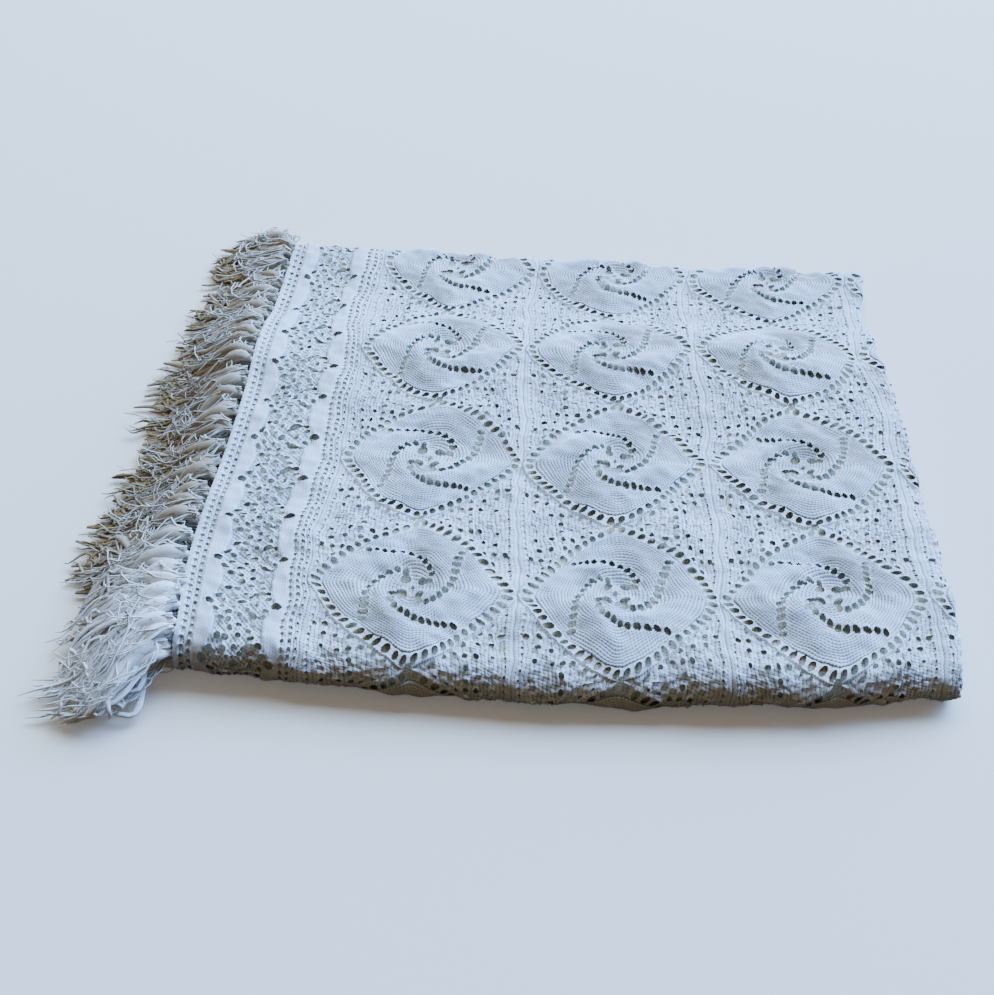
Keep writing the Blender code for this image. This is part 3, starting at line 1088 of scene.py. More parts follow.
@dataclass(frozen=True)
class Cotton:
    """White cotton thread, crocheted or loose: its colours and how its stitches look.

    The lighter and the darker of its two colours lie in soft patches, and a third is painted shade in the
    gaps. A share says how deep the gaps look, in the bump and in that painted shade.
    """

    name: str
    light: str
    dark: str
    painted_gap_shade: str
    roughness: float
    sheen: float
    stitches: float = 0.0
    # How wide the patches are, and how coarse the fuzz of the threads is. A thread is 0.5 mm thick; its fuzz
    # is drawn coarser than that, so that it shows.
    patch_size: float = 0.030
    thread_size: float = 0.0016

    def noise(self, tree: bpy.types.NodeTree, size: float) -> bpy.types.NodeSocket:
        """A soft random pattern.

        Args:
            tree: The node tree.
            size: Size of its patches.

        Returns:
            Its value.
        """
        place = add_node(tree, "ShaderNodeTexCoord").outputs["Object"]
        links = {"Vector": place, "Scale": 1 / size, "Detail": 3.0, "Roughness": 0.6}
        return add_node(tree, "ShaderNodeTexNoise", links).outputs["Fac"]

    def wave(self, tree: bpy.types.NodeTree, count: bpy.types.NodeSocket) -> bpy.types.NodeSocket:
        """A bead for each whole count: 0 at its ends, 1 in its middle.

        Args:
            tree: The node tree.
            count: The count.

        Returns:
            The height of the bead.
        """
        turn = add_node(tree, "ShaderNodeMath", {0: count, 1: math.pi}, operation="MULTIPLY").outputs[0]
        swing = add_node(tree, "ShaderNodeMath", {0: turn}, operation="SINE").outputs[0]
        return add_node(tree, "ShaderNodeMath", {0: swing}, operation="ABSOLUTE").outputs[0]

    def worn(self, tree: bpy.types.NodeTree) -> bpy.types.NodeSocket:
        """How far a place has the lighter of the two colours, in soft patches."""
        links = {"Value": self.noise(tree, self.patch_size), 1: 0.35, 2: 0.65}
        return add_node(tree, "ShaderNodeMapRange", links).outputs[0]

    def material(self) -> bpy.types.Material:
        """Makes the material.

        Returns:
            The material.
        """
        made = bpy.data.materials.new(self.name)
        made.use_nodes = True
        tree = made.node_tree
        tree.nodes.clear()
        fuzz = self.noise(tree, self.thread_size)
        links = {0: self.worn(tree), 6: linear(self.dark), 7: linear(self.light)}
        thread = add_node(tree, "ShaderNodeMix", links, data_type="RGBA").outputs[2]
        depth = self.height(tree, fuzz)
        # Painted shade: the gap colour fills the low places of the thread.
        links = {0: depth, 6: linear(self.painted_gap_shade), 7: thread}
        colour = add_node(tree, "ShaderNodeMix", links, data_type="RGBA").outputs[2]
        bump = add_node(tree, "ShaderNodeBump", {"Height": depth, "Strength": 0.8, "Distance": 0.0006})
        shader = add_node(
            tree,
            "ShaderNodeBsdfPrincipled",
            {
                "Base Color": colour,
                "Roughness": self.roughness,
                "Sheen Weight": self.sheen,
                "Sheen Roughness": 0.5,
                "Specular IOR Level": 0.3,
                "Normal": bump.outputs["Normal"],
            },
        )
        add_node(tree, "ShaderNodeOutputMaterial", {"Surface": shader.outputs[0]})
        return made

    def height(self, tree: bpy.types.NodeTree, fuzz: bpy.types.NodeSocket) -> bpy.types.NodeSocket:
        """The height of the thread over the gaps between ribs and between stitches, for the bump and the
        painted shade.

        Args:
            tree: The node tree.
            fuzz: A fine random pattern.

        Returns:
            0 in a gap, 1 on top of a stitch or on the rim of a hole.
        """
        place = add_node(tree, "ShaderNodeUVMap", uv_map="stitch").outputs[0]
        parts = add_node(tree, "ShaderNodeSeparateXYZ", {0: place})
        ribs, stitches = parts.outputs[0], parts.outputs[1]
        links = {0: ribs, 1: 0.35, 2: stitches}
        slant = add_node(tree, "ShaderNodeMath", links, operation="MULTIPLY_ADD").outputs[0]
        height, bead = self.wave(tree, ribs), self.wave(tree, slant)
        # The rim attribute is painted light and shade: highlights on hole rims, the cord and raised parts,
        # shade on open blocks, grooves and netting.
        rim = add_node(tree, "ShaderNodeAttribute", attribute_name="rim").outputs["Fac"]
        for part, share in ((bead, 0.80), (fuzz, 0.75), (rim, 0.55)):
            links = {0: part, 1: share, 2: height}
            height = add_node(tree, "ShaderNodeMath", links, operation="MULTIPLY_ADD").outputs[0]
        links = {"Value": height, 1: 0.58, 2: 1.60, 3: 1 - self.stitches, 4: 1.0}
        return add_node(tree, "ShaderNodeMapRange", links).outputs[0]


@dataclass(frozen=True)
class Yarn(Cotton):
    """Loose cotton yarn: its fibres run along each lock, and each lock has its own painted light and shade,
    with tone by chance.
    """

    def worn(self, tree: bpy.types.NodeTree) -> bpy.types.NodeSocket:
        """How far a lock has the lighter of the two colours: its painted light, with tone by chance."""
        return add_node(tree, "ShaderNodeAttribute", attribute_name="rim").outputs["Fac"]

    def height(self, tree: bpy.types.NodeTree, fuzz: bpy.types.NodeSocket) -> bpy.types.NodeSocket:
        """The height of the fibres over the painted lines of shadow between them.

        Args:
            tree: The node tree.
            fuzz: A fine random pattern.

        Returns:
            0 between fibres, 1 on top of them.
        """
        along = add_node(tree, "ShaderNodeUVMap", uv_map="stitch").outputs[0]
        links = {"Vector": along, "Scale": 1.0, "Detail": 2.0, "Roughness": 0.5}
        fibres = add_node(tree, "ShaderNodeTexNoise", links).outputs["Fac"]
        links = {0: fuzz, 1: 0.25, 2: fibres}
        height = add_node(tree, "ShaderNodeMath", links, operation="MULTIPLY_ADD").outputs[0]
        return add_node(tree, "ShaderNodeMapRange", {"Value": height, 1: 0.28, 2: 0.56}).outputs[0]


class Finish(Enum):
    """The finishes of the bedspread."""

    # Fine crocheted cotton: cool white and matt, each rib and stitch parted from the next by a gap of painted
    # grey shade.
    LACE = Cotton("crocheted_white_cotton", "#eff4fb", "#dbe0e6", "#9a9e9c", 0.85, 0.20, 1.0)
    # The same white cloth inside the folds, seen only through the holes: darker and warmer than the lace, as
    # painted shade.
    INNER = Cotton("crocheted_cotton_inner_layers_painted_shade", "#d0cab2", "#b8b093", "#8c8468", 0.95, 0.1, 0.7)
    # The same cloth where it shows at the sides, the back and below, with painted grey shade in its gaps.
    PLAIN = Cotton("crocheted_cotton_outer_layers", "#e8eaec", "#cfd1d2", "#858580", 0.9, 0.2, 1.0)
    # Loose soft yarn: off-white, with a darker brown that is ecru deepened by painted shade, painted lines of
    # shadow between its fibres, and a soft sheen.
    FRINGE = Yarn("soft_cotton_yarn", "#fdfbf5", "#977845", "#6e5529", 0.8, 0.10, 0.0, 0.020, 0.0030)


def make_piece(name: str, points: Array, quads: Array, finish: Finish, stitch: Array) -> bpy.types.Object:
    """Makes a piece of a mesh that is already in its place.

    Args:
        name: The piece's name.
        points: One row of x, y and z each.
        quads: One row of four points each.
        finish: What it is made of.
        stitch: For each point the counts of ribs and of stitches, and how bright it is.

    Returns:
        The piece.
    """
    mesh = bpy.data.meshes.new(name)
    mesh.vertices.add(len(points))
    mesh.vertices.foreach_set("co", points.astype(np.float32).reshape(-1))
    mesh.loops.add(quads.size)
    mesh.loops.foreach_set("vertex_index", quads.astype(np.int32).reshape(-1))
    mesh.polygons.add(len(quads))
    mesh.polygons.foreach_set("loop_start", np.arange(0, quads.size, 4, dtype=np.int32))
    mesh.polygons.foreach_set("use_smooth", np.ones(len(quads), bool))
    layer = mesh.uv_layers.new(name="stitch")
    layer.data.foreach_set("uv", stitch[quads.reshape(-1), :2].astype(np.float32).reshape(-1))
    rim = mesh.attributes.new("rim", "FLOAT", "POINT")
    rim.data.foreach_set("value", stitch[:, 2].astype(np.float32))
    mesh.update(calc_edges=True)
    mesh.validate()
    material = bpy.data.materials.get(finish.value.name) or finish.value.material()
    mesh.materials.append(material)
    piece = bpy.data.objects.new(name, mesh)
    bpy.context.scene.collection.objects.link(piece)
    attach(piece, "root")
    log.info("%s: %d triangles", name, 2 * len(quads))
    return piece


def folded(flat: Flat) -> Array:
    """Carries flat crochet through the folds."""
    return LIE.place(flat.points[:, 0], flat.points[:, 1], flat.lift)


@dataclass
class TopLace:
    """The lace that shows on top and round the front: rows of squares, and the border along the fringed edge.

    It goes from a start to an end along the cloth, and from the fringed edge into the fold at the side.
    """

    first_row: int = 6
    last_row: int = 10
    columns: int = 4
    start: float = 0.928
    end: float = 1.560
    side: float = 0.600
    # How far the cloth is pulled out of true, and how far it heaves, by waves of a length.
    pulls: tuple[tuple[float, float], ...] = ((0.0030, 0.130), (0.0013, 0.045), (0.0006, 0.016))
    heaves: tuple[tuple[float, float], ...] = ((0.0015, 0.075), (0.0010, 0.030), (0.0005, 0.012))

    def warped(self, flat: Flat) -> Flat:
        """The crochet pulled a little out of true and heaved up, as hand-made cloth is.

        Args:
            flat: The crochet, in its place on the flat cloth.

        Returns:
            The same crochet, warped.
        """
        x, y = flat.points.T
        fade = smooth_step(x, 0.002, 0.05)
        points, lift = flat.points.copy(), flat.lift.copy()
        for i, (size, wave) in enumerate(self.pulls):
            points[:, 0] += size * ripple(x, y, wave, 20 + i) * fade
            points[:, 1] += size * ripple(x, y, wave, 30 + i)
        for i, (size, wave) in enumerate(self.heaves):
            lift += size * (0.10 + ripple(x, y, wave, 40 + i)) * smooth_step(x, 0, 0.02)
        return Flat(points, lift, flat.quads, flat.stitch)

    def windowed(self, flat: Flat) -> Flat:
        """The part of the crochet that shows."""
        x, y = flat.middle_of_quads().T
        return flat.kept((y > self.start) & (y < self.end) & (x < self.side))

    def build(self) -> list[bpy.types.Object]:
        """Makes a piece of each row of squares, and one of the border.

        Returns:
            The rows of squares, and the border last.
        """
        square, border = LaceSquare().flat(), LaceBorder().flat()
        pieces = []
        borders = []
        for row in range(self.first_row, self.last_row + 1):
            middle = (row + 0.5) * SQUARE
            middles = [BORDER + (column + 0.5) * SQUARE for column in range(self.columns)]
            lace = self.windowed(self.warped(Flat.joined([square.moved(x, middle) for x in middles])))
            piece = make_piece(f"lace_row_{row + 1}", folded(lace), lace.quads, Finish.LACE, lace.stitch)
            pieces.append(piece)
            borders.append(border.moved(0, middle))
        lace = self.windowed(self.warped(Flat.joined(borders)))
        piece = make_piece("lace_border", folded(lace), lace.quads, Finish.LACE, lace.stitch)
        return [*pieces, piece]

    def declare(self, pieces: list[bpy.types.Object]) -> None:
        """Does nothing with the pieces of lace.

        Args:
            pieces: The rows of squares, and the border last; not used.
        """


@dataclass
class EdgeCord:
    """The thick beaded thread along both fringed edges, which the fringe is knotted into."""

    radius: float = 0.0017
    sides: int = 6
    # The beads: how far apart they are, and half of how much thinner the cord is between them.
    step: float = 0.0040
    bead: float = 0.20
    # How far in from the edge and above the cloth it lies, and its painted light.
    inset: float = 0.0006
    rise: float = 0.0004
    bright: float = 0.8

    def build(self) -> bpy.types.Object:
        """Makes both cords as one piece.

        Returns:
            The piece.
        """
        along = np.arange(0, LENGTH, self.step / 2)
        turn = np.arange(self.sides) * 2 * math.pi / self.sides
        bead = 1 - self.bead + self.bead * np.cos(along / self.step * 2 * math.pi)
        points, faces = [], []
        for edge, inward in ((0.0, 1), (WIDTH, -1)):
            ring = self.radius * bead[:, None]
            across = edge + inward * (self.inset + ring * np.cos(turn))
            lift = ring * np.sin(turn) + self.rise
            at = np.broadcast_to(along[:, None], across.shape)
            points.append(LIE.place(across.reshape(-1), at.reshape(-1), lift.reshape(-1)))
            index = np.arange(across.size).reshape(across.shape) + len(points[0]) * (len(points) - 1)
            after = np.roll(index, -1, axis=1)
            quads = np.stack((index[:-1], index[1:], after[1:], after[:-1]), axis=-1).reshape(-1, 4)
            faces.append(quads if inward > 0 else quads[:, ::-1])
        stitch = np.zeros((2 * len(points[0]), 3))
        stitch[:, 0] = 0.5
        stitch[:, 1] = np.tile(np.repeat(along / self.step, self.sides), 2)
        # Painted light on the cord.
        stitch[:, 2] = self.bright
        piece = make_piece("edge_cord", np.concatenate(points), np.concatenate(faces), Finish.LACE, stitch)
        return piece


@dataclass
class Layers:
    """The rest of the cloth, all its layers in one sheet."""

    step: float = 0.0120
    steps_a_bend: int = 8

    def places(self, path: FoldPath, low: float, high: float) -> Array:
        """Places across a range of the cloth, closer together round the bends.

        Args:
            path: How the cloth is folded that way.
            low: Where the range starts.
            high: Where it ends.

        Returns:
            The places, from low to high.
        """
        marks = [low]
        base = 0.0
        for run in path.runs:
            count = self.steps_a_bend if run.turn else max(round(run.used / self.step), 1)
            steps = base + run.used * np.arange(1, count + 1) / count
            marks += [place for place in steps if low + 0.001 < place < high - 0.001]
            base += run.used
        return np.array(marks + [high])

    def build(self, top: TopLace) -> bpy.types.Object:
        """Makes the sheet, with the lace of the top left out.

        Args:
            top: The lace that shows on top.

        Returns:
            The piece.
        """
        across = self.places(LIE.across, 0, WIDTH)
        along = self.places(LIE.along, 0, LENGTH)
        y, x = np.meshgrid(along, across)
        middle_x, middle_y = (x[1:, 1:] + x[:-1, 1:]) / 2, (y[1:, 1:] + y[1:, :-1]) / 2
        shown = (middle_x < top.side) & (middle_y > top.start) & (middle_y < top.end)
        stitch = np.stack((x / RIB, y / STITCH), axis=-1)
        flat = Flat.of_grid(np.stack((x, y), axis=-1), np.zeros_like(x), stitch, np.ones_like(shown))
        flat.quads = flat.quads[:, ::-1]
        outer = (middle_x < LIE.across.runs[0].used + LIE.across.runs[1].used).reshape(-1)
        seen = ~shown.reshape(-1)
        part = flat.kept(seen)
        piece = make_piece("folded_layers", folded(part), part.quads, Finish.PLAIN, part.stitch)
        # The inner layers, seen through the holes, get the cloth darkened with painted shade.
        piece.data.materials.append(Finish.INNER.value.material())
        piece.data.polygons.foreach_set("material_index", (~outer[seen]).astype(np.int32))
        return piece

    def declare(self, piece: bpy.types.Object, top: TopLace, others: list[bpy.types.Object]) -> None:
        """Does nothing; the piece is the cut of cloth but for the lace of the top, and the others lie on it.
        """


@dataclass
class Fringe:
    """Long soft fringe along one edge of the cloth.

    Plump fingers of yarn run out into a matted mass with ragged tips, and loose threads lie over them.
    """

    name: str
    edge: float
    slot: str
    seed: int
    # The bunches: how far apart, how far they reach, and half their width.
    pitch: float = 0.0205
    reach: float = 0.098
    half: float = 0.0070
    # How they differ by chance: place, direction, length, sway and plumpness. Direction and length also do so
    # in slow waves: by how much, and how long the waves are.
    place_stray: float = 0.0025
    fan_stray: float = 0.12
    length_stray: float = 0.09
    sway: float = 0.0055
    plumpness: tuple[float, float] = (0.85, 1.15)
    fan_wave: tuple[float, float] = (0.24, 0.065)
    scallop: tuple[float, float] = (0.15, 0.11)
    # How long they are low in the stack, and how much longer high up and at the front corner.
    low_length: float = 0.70
    longer_high: float = 0.30
    longer_front: float = 0.12
    # How much painted light they get at the front corner and how much more high up, and how much lighter they
    # are by chance.
    front_painted_light: float = 1.05
    painted_light_high: float = 0.25
    light_stray: float = 0.20
    # The plump fingers at the lace: radius, length, how far they arch, and how much painted light they get
    # over their bunch.
    finger: float = 0.0058
    finger_reach: float = 0.042
    finger_arch: float = 0.0042
    finger_painted_light: float = 0.12
    # The matted locks: radius, height as a share of width, where they start and how far they reach of their
    # bunch's length, how many a bunch has, how far they bend and part, how much thinner they are at the front
    # corner and at their ends, the painted shade they get at their ends, and how much less of it at the front
    # corner.
    lock: float = 0.0056
    lock_flat: float = 0.30
    lock_start: float = 0.012
    lock_reach: tuple[float, float] = (0.66, 0.93)
    locks_each: int = 5
    lock_bend: float = 0.0050
    lock_parting: float = 0.0080
    lock_front_thinner: float = 0.52
    lock_end_thinner: float = 0.62
    lock_end_painted_shade: float = 0.7
    lock_end_shade_less_at_front: float = 0.68
    # The ragged tips: radius, how many a bunch and a group have, where they start and end of their bunch's
    # length, how much thinner they get, and how far their groups, ends, starts and curls stray.
    tip: float = 0.0011
    tips_each: int = 7
    tips_a_group: int = 4
    tip_start: tuple[float, float] = (0.48, 0.72)
    tip_end: tuple[float, float] = (0.68, 0.93)
    tip_thinner: float = 0.75
    group_stray: float = 0.0110
    tip_end_stray: float = 0.0026
    tip_start_stray: float = 0.0070
    tip_curl: float = 0.0042
    # The loose threads: radius, how many a bunch has, how far they reach of their bunch's length, the share
    # that curl up, the size of the curls, and how far they wander.
    thread: float = 0.00052
    threads_each: int = 6
    thread_reach: tuple[float, float] = (0.55, 0.95)
    curly: float = 0.7
    curls: tuple[float, float] = (0.005, 0.014)
    wander: float = 0.0060
    # How it falls from the edge: an arch by the lace, the height it comes down to at least, the share of the
    # edge's height that it keeps and how much more of it at the front corner, and how much further out it
    # stays up there.
    arch: float = 0.0018
    low: float = 0.0030
    keeps: float = 0.17
    keeps_more: float = 0.40
    held_up: float = 0.20
    # How far the fringe fans out at its two ends, and how far along the edge that reaches.
    front_fan: float = math.radians(33)
    back_fan: float = math.radians(-17)
    fan_reach: float = 0.13
    # How far out and up it goes at most, and over what length it gives way before it is that far out.
    y_limit: float = 0.3152
    y_give: float = 0.022
    z_limit: float = 0.0470
    # Where the rings of points are along a lock or thread.
    marks: tuple[float, ...] = (0, 0.022, 0.055, 0.10, 0.18, 0.27, 0.37, 0.47, 0.57, 0.67, 0.78, 0.89, 1.0)

    def bunch_draws(self, rng: np.random.Generator) -> dict[str, Array]:
        """What sets each bunch apart: place, direction, length, sway, girth, and its painted light with tone
        by chance.

        Args:
            rng: The source of chance.

        Returns:
            An array for each trait.
        """
        places = np.arange(self.pitch / 2, LENGTH, self.pitch)
        count = len(places)
        level = LIE.place(np.full(count, self.edge), places)[:, 2] / STACK
        front = self.at_front(LIE.place(np.full(count, self.edge), places)[:, 1])
        (fan, fan_length), (scallop, scallop_length) = self.fan_wave, self.scallop
        fan = fan * ripple(places, places, fan_length, self.seed + 1)
        length = self.low_length + self.longer_high * level + self.longer_front * front
        length = length + scallop * ripple(places, places, scallop_length, self.seed)
        # Painted light: lighter at the front corner, and more so high in the stack.
        light = front * (self.front_painted_light + self.painted_light_high * level)
        return {
            "at": places + rng.uniform(-self.place_stray, self.place_stray, count),
            "fan": fan + rng.normal(0, self.fan_stray, count),
            "length": length + rng.normal(0, self.length_stray, count),
            "sway": rng.normal(0, self.sway, count),
            "bend": rng.uniform(0, 2 * math.pi, count),
            "plump": rng.uniform(*self.plumpness, count),
            "high": rng.uniform(0.5, 1.0, count),
            "front": front,
            "shade": light + rng.uniform(0.0, self.light_stray, count),
        }

    def at_front(self, y: Array) -> Array:
        """How near the front corner a place is: 1 at the front fold, 0 a fan's reach away."""
        return 1 - smooth_step(y + CENTRE[1], FRONT_BEND, FRONT_BEND + self.fan_reach)

    def laid(self, draws: dict[str, Array], forward: Array, aside: Array, above: Array) -> Array:
        """Lays lines of points where they fall, each in the direction of its bunch.

        Args:
            draws: The traits of each line's bunch.
            forward: How far out along the bunch each point is.
            aside: How far to its left.
            above: How far over its middle.

        Returns:
            One row of points for each line.
        """
        root = LIE.place(np.full(len(forward), self.edge), draws["at"])
        front = draws["front"]
        at = root[:, 1] + CENTRE[1]
        back = smooth_step(at, BACK_BEND - self.fan_reach, BACK_BEND)
        fan = (self.front_fan * front + self.back_fan * back + draws["fan"])[:, None]
        part = forward / self.reach
        aside = aside + draws["sway"][:, None] * np.sin(math.pi * part * 1.6 + 0.3 * draws["bend"][:, None])
        # It leaves the edge at the edge's height, arches a little, and falls to where it lies on what is
        # below it.
        top, high = root[:, 2:3], (draws["high"] * (self.keeps + self.keeps_more * front))[:, None]
        low = self.low + top * high * (1 - 0.8 * np.clip(part, 0, 1) ** 2)
        held_up = self.held_up * (1 - smooth_step(at[:, None], FRONT_BEND + 0.05, FRONT_BEND + 0.19))
        fall = smooth_step(part - held_up, 0.06, 0.80)
        arch = self.arch * np.sin(math.pi * np.clip(part / 0.25, 0, 1))
        height = np.minimum(top * (1 - fall) + low * fall + arch + above, self.z_limit)
        x = root[:, :1] - forward * np.cos(fan) - aside * np.sin(fan)
        y = root[:, 1:2] - forward * np.sin(fan) + aside * np.cos(fan)
        free = self.y_limit - self.y_give
        over = np.maximum(abs(y) - free, 0)
        y = np.sign(y) * (np.minimum(abs(y), free) + self.y_give * np.tanh(over / self.y_give))
        return np.stack((x, y, height), axis=-1)

    def tubes(
        self, lines: Array, radius: Array, sides: int, shade: Array, squash: float = 1.0
    ) -> tuple[Array, Array, Array]:
        """Makes a tube along each line.

        Args:
            lines: The middle lines.
            radius: The radius at each of their points.
            sides: How many sides a tube has.
            shade: The painted light and shade of each tube, with tone by chance, all along or at each of its
                points.
            squash: How high a tube is as a share of how wide it is.

        Returns:
            The points, the quads, and for the material the place across and along the fibres and the painted
            light and shade.
        """
        count, steps, _ = lines.shape
        heading = np.gradient(lines, axis=1)
        heading /= np.linalg.norm(heading, axis=2, keepdims=True)
        aside = np.cross(heading, np.array([0, 0, 1.0]))
        aside /= np.maximum(np.linalg.norm(aside, axis=2, keepdims=True), 1e-9)
        above = np.cross(aside, heading)
        turns = np.linspace(-0.5, 1.5, sides + 1) * math.pi
        wide = radius[..., None]
        rings = [lines + wide * (aside * math.cos(turn) + squash * above * math.sin(turn)) for turn in turns]
        points = np.stack(rings, axis=2)
        points[..., 2] = np.maximum(points[..., 2], 0.0003)
        index = np.arange(points[..., 0].size).reshape(count, steps, sides + 1)
        start, end = index[:, :-1], index[:, 1:]
        quads = np.stack((start[..., :-1], end[..., :-1], end[..., 1:], start[..., 1:]), axis=-1)
        around = 16 * (turns - turns[0]) / (2 * math.pi) + 31 * np.arange(count)[:, None, None]
        along = 6 * np.asarray(self.marks)[None, :, None]
        stitch = np.stack(np.broadcast_arrays(around, along, shade[:, :, None]), axis=-1)
        return points.reshape(-1, 3), quads.reshape(-1, 4), stitch.reshape(-1, 3)

    def spread_over(self, draws: dict[str, Array], each: int) -> dict[str, Array]:
        """The traits of the bunches, repeated for what each bunch is made of."""
        return {name: np.repeat(values, each) for name, values in draws.items()}

    def fingers(self, rng: np.random.Generator, draws: dict[str, Array]) -> tuple[Array, Array, Array]:
        """The plump ends by the lace, one for each bunch, which sink into the matted yarn.

        Args:
            rng: The source of chance.
            draws: The traits of the bunches.

        Returns:
            The points, the quads, and what the material reads.
        """
        count = len(draws["at"])
        part = np.asarray(self.marks)[None, :]
        length = (self.finger_reach * draws["plump"] * rng.uniform(0.8, 1.25, count))[:, None]
        rise = self.finger_arch * np.sin(math.pi * part**0.7)
        lines = self.laid(draws, 0.0008 + length * part, rng.normal(0, 0.0035, (count, 1)) * part**2, rise)
        girth = 0.45 + 0.55 * smooth_step(part, 0, 0.25) - 0.75 * smooth_step(part, 0.50, 1.0)
        # Painted light on the fingers, which lie on top.
        shade = np.clip(draws["shade"] + self.finger_painted_light, 0, 1)[:, None]
        return self.tubes(lines, self.finger * draws["plump"][:, None] * girth, 8, shade, 0.85)

    def locks(self, rng: np.random.Generator, draws: dict[str, Array]) -> tuple[Array, Array, Array]:
        """The flat matted locks, which cross and cover each other.

        Args:
            rng: The source of chance.
            draws: The traits of the bunches.

        Returns:
            The points, the quads, and what the material reads.
        """
        traits = self.spread_over(draws, self.locks_each)
        count, front = len(traits["at"]), traits["front"][:, None]
        place = np.tile(np.linspace(-1.25, 1.25, self.locks_each), len(draws["at"]))[:, None]
        part = np.asarray(self.marks)[None, :]
        length = (self.reach * traits["length"] * rng.uniform(*self.lock_reach, count))[:, None]
        spread = self.half * place * (0.30 + (0.90 + 0.5 * front) * smooth_step(part, 0.02, 0.50))
        bend = rng.normal(0, self.lock_bend, (count, 1)) * np.sin(part * rng.uniform(3, 7, (count, 1)))
        bend = bend * (1 + 1.1 * front) * smooth_step(part, 0.2, 0.8)
        parting = rng.normal(0, self.lock_parting, (count, 1)) * smooth_step(part, 0.45, 1.0)
        above = rng.uniform(-0.0008, 0.0010, (count, 1)) * (1 - 0.5 * part)
        forward = self.lock_start + (length - self.lock_start) * part
        lines = self.laid(traits, forward, spread + bend + parting, above)
        girth = 0.50 + 0.50 * smooth_step(part, 0, 0.25) - 0.30 * smooth_step(part, 0.45, 0.75)
        girth = girth - self.lock_end_thinner * smooth_step(part, 0.76, 1.0) * girth
        radius = self.lock * girth * rng.uniform(0.70, 1.15, (count, 1))
        radius = radius * (1 - self.lock_front_thinner * front)
        shade = np.clip(traits["shade"] + rng.normal(0, 0.07, count), 0, 1)[:, None]
        # Painted shade towards the end of each lock, less at the front corner.
        shade = shade * (1 - (self.lock_end_painted_shade - self.lock_end_shade_less_at_front * front) * part)
        return self.tubes(lines, radius, 6, shade, self.lock_flat)

    def tips(self, rng: np.random.Generator, draws: dict[str, Array]) -> tuple[Array, Array, Array]:
        """The ragged tips, in small groups that come to a point.

        Args:
            rng: The source of chance.
            draws: The traits of the bunches.

        Returns:
            The points, the quads, and what the material reads.
        """
        traits = self.spread_over(draws, self.tips_each)
        count = len(traits["at"])
        part = np.asarray(self.marks)[None, :]
        start = self.reach * traits["length"] * rng.uniform(*self.tip_start, count)
        end = self.reach * traits["length"] * rng.uniform(*self.tip_end, count)
        groups = rng.normal(0, self.group_stray, count // self.tips_a_group + 1)
        group = np.repeat(groups, self.tips_a_group)[:count, None]
        aside = rng.normal(0, self.tip_start_stray, (count, 1)) * (1 - part)
        aside = aside + (group + rng.normal(0, self.tip_end_stray, (count, 1))) * part
        curl = rng.normal(0, self.tip_curl, (count, 1)) * np.sin(part * rng.uniform(4, 11, (count, 1)))
        forward = start[:, None] + (end - start)[:, None] * part
        lines = self.laid(traits, forward, aside + curl, rng.uniform(0, 0.0022, (count, 1)))
        taper = 1 - self.tip_thinner * smooth_step(part, 0.60, 1.02)
        radius = self.tip * taper * rng.uniform(0.7, 1.5, (count, 1))
        # The tips take a little less of their bunch's painted light, with tone by chance.
        shade = np.clip(0.9 * traits["shade"] + rng.uniform(-0.2, 0.12, count), 0, 1)[:, None]
        return self.tubes(lines, radius, 3, shade)

    def loose_threads(self, rng: np.random.Generator, draws: dict[str, Array]) -> tuple[Array, Array, Array]:
        """The single threads over the yarn; most of them curl up in loops.

        Args:
            rng: The source of chance.
            draws: The traits of the bunches.

        Returns:
            The points, the quads, and what the material reads.
        """
        traits = self.spread_over(draws, self.threads_each)
        count = len(traits["at"])
        curls = rng.uniform(size=(count, 1)) < self.curly
        part = np.asarray(self.marks)[None, :]
        around = rng.uniform(0, 2 * math.pi, (count, 1))
        spread = self.half * (0.35 + 0.85 * smooth_step(part, 0, 0.5))
        wander = rng.normal(0, self.wander, (count, 1))
        wander = wander * np.sin(part * rng.uniform(5, 12, (count, 1)) + around)
        size = rng.uniform(*self.curls, (count, 1)) * curls * smooth_step(part, 0.05, 0.40)
        loop = part * rng.uniform(5, 9, (count, 1)) + around
        aside = spread * np.cos(around) * 1.1 + wander * smooth_step(part, 0, 0.5) + size * np.sin(loop)
        reach = rng.uniform(*self.thread_reach, (count, 1)) * (1 - 0.20 * curls)
        forward = 0.0012 + self.reach * traits["length"][:, None] * reach * part + size * np.cos(loop)
        over = 0.0025 * abs(np.sin(around)) * (1 - 0.7 * smooth_step(part, 0.4, 0.9))
        lines = self.laid(traits, forward, aside, 0.0035 + over + 0.0020 * curls)
        radius = self.thread * np.linspace(1.15, 0.8, len(self.marks))[None, :] * (1 + 0.35 * curls)
        # Painted light at the front corner and more on the curls, which lie on top, with tone by chance.
        light = traits["front"][:, None] + rng.uniform(0.0, 0.7, (count, 1))
        shade = np.clip(light + 0.25 * curls, 0, 1)
        return self.tubes(lines, radius, 3, shade)

    def build(self) -> bpy.types.Object:
        """Makes the fringe as one piece.

        Returns:
            The piece.
        """
        rng = np.random.default_rng(self.seed)
        draws = self.bunch_draws(rng)
        kinds = (self.fingers, self.locks, self.tips, self.loose_threads)
        made = [kind(rng, draws) for kind in kinds]
        starts = np.cumsum([0] + [len(points) for points, _, _ in made[:-1]])
        points = np.concatenate([part[0] for part in made])
        quads = np.concatenate([part[1] + start for part, start in zip(made, starts)])
        stitch = np.concatenate([part[2] for part in made])
        piece = make_piece(self.name, points, quads, Finish.FRINGE, stitch)
        return piece


class LampKind(Enum):
    """The kinds of light."""

    FAR_OFF = "SUN"
    SQUARE = "AREA"


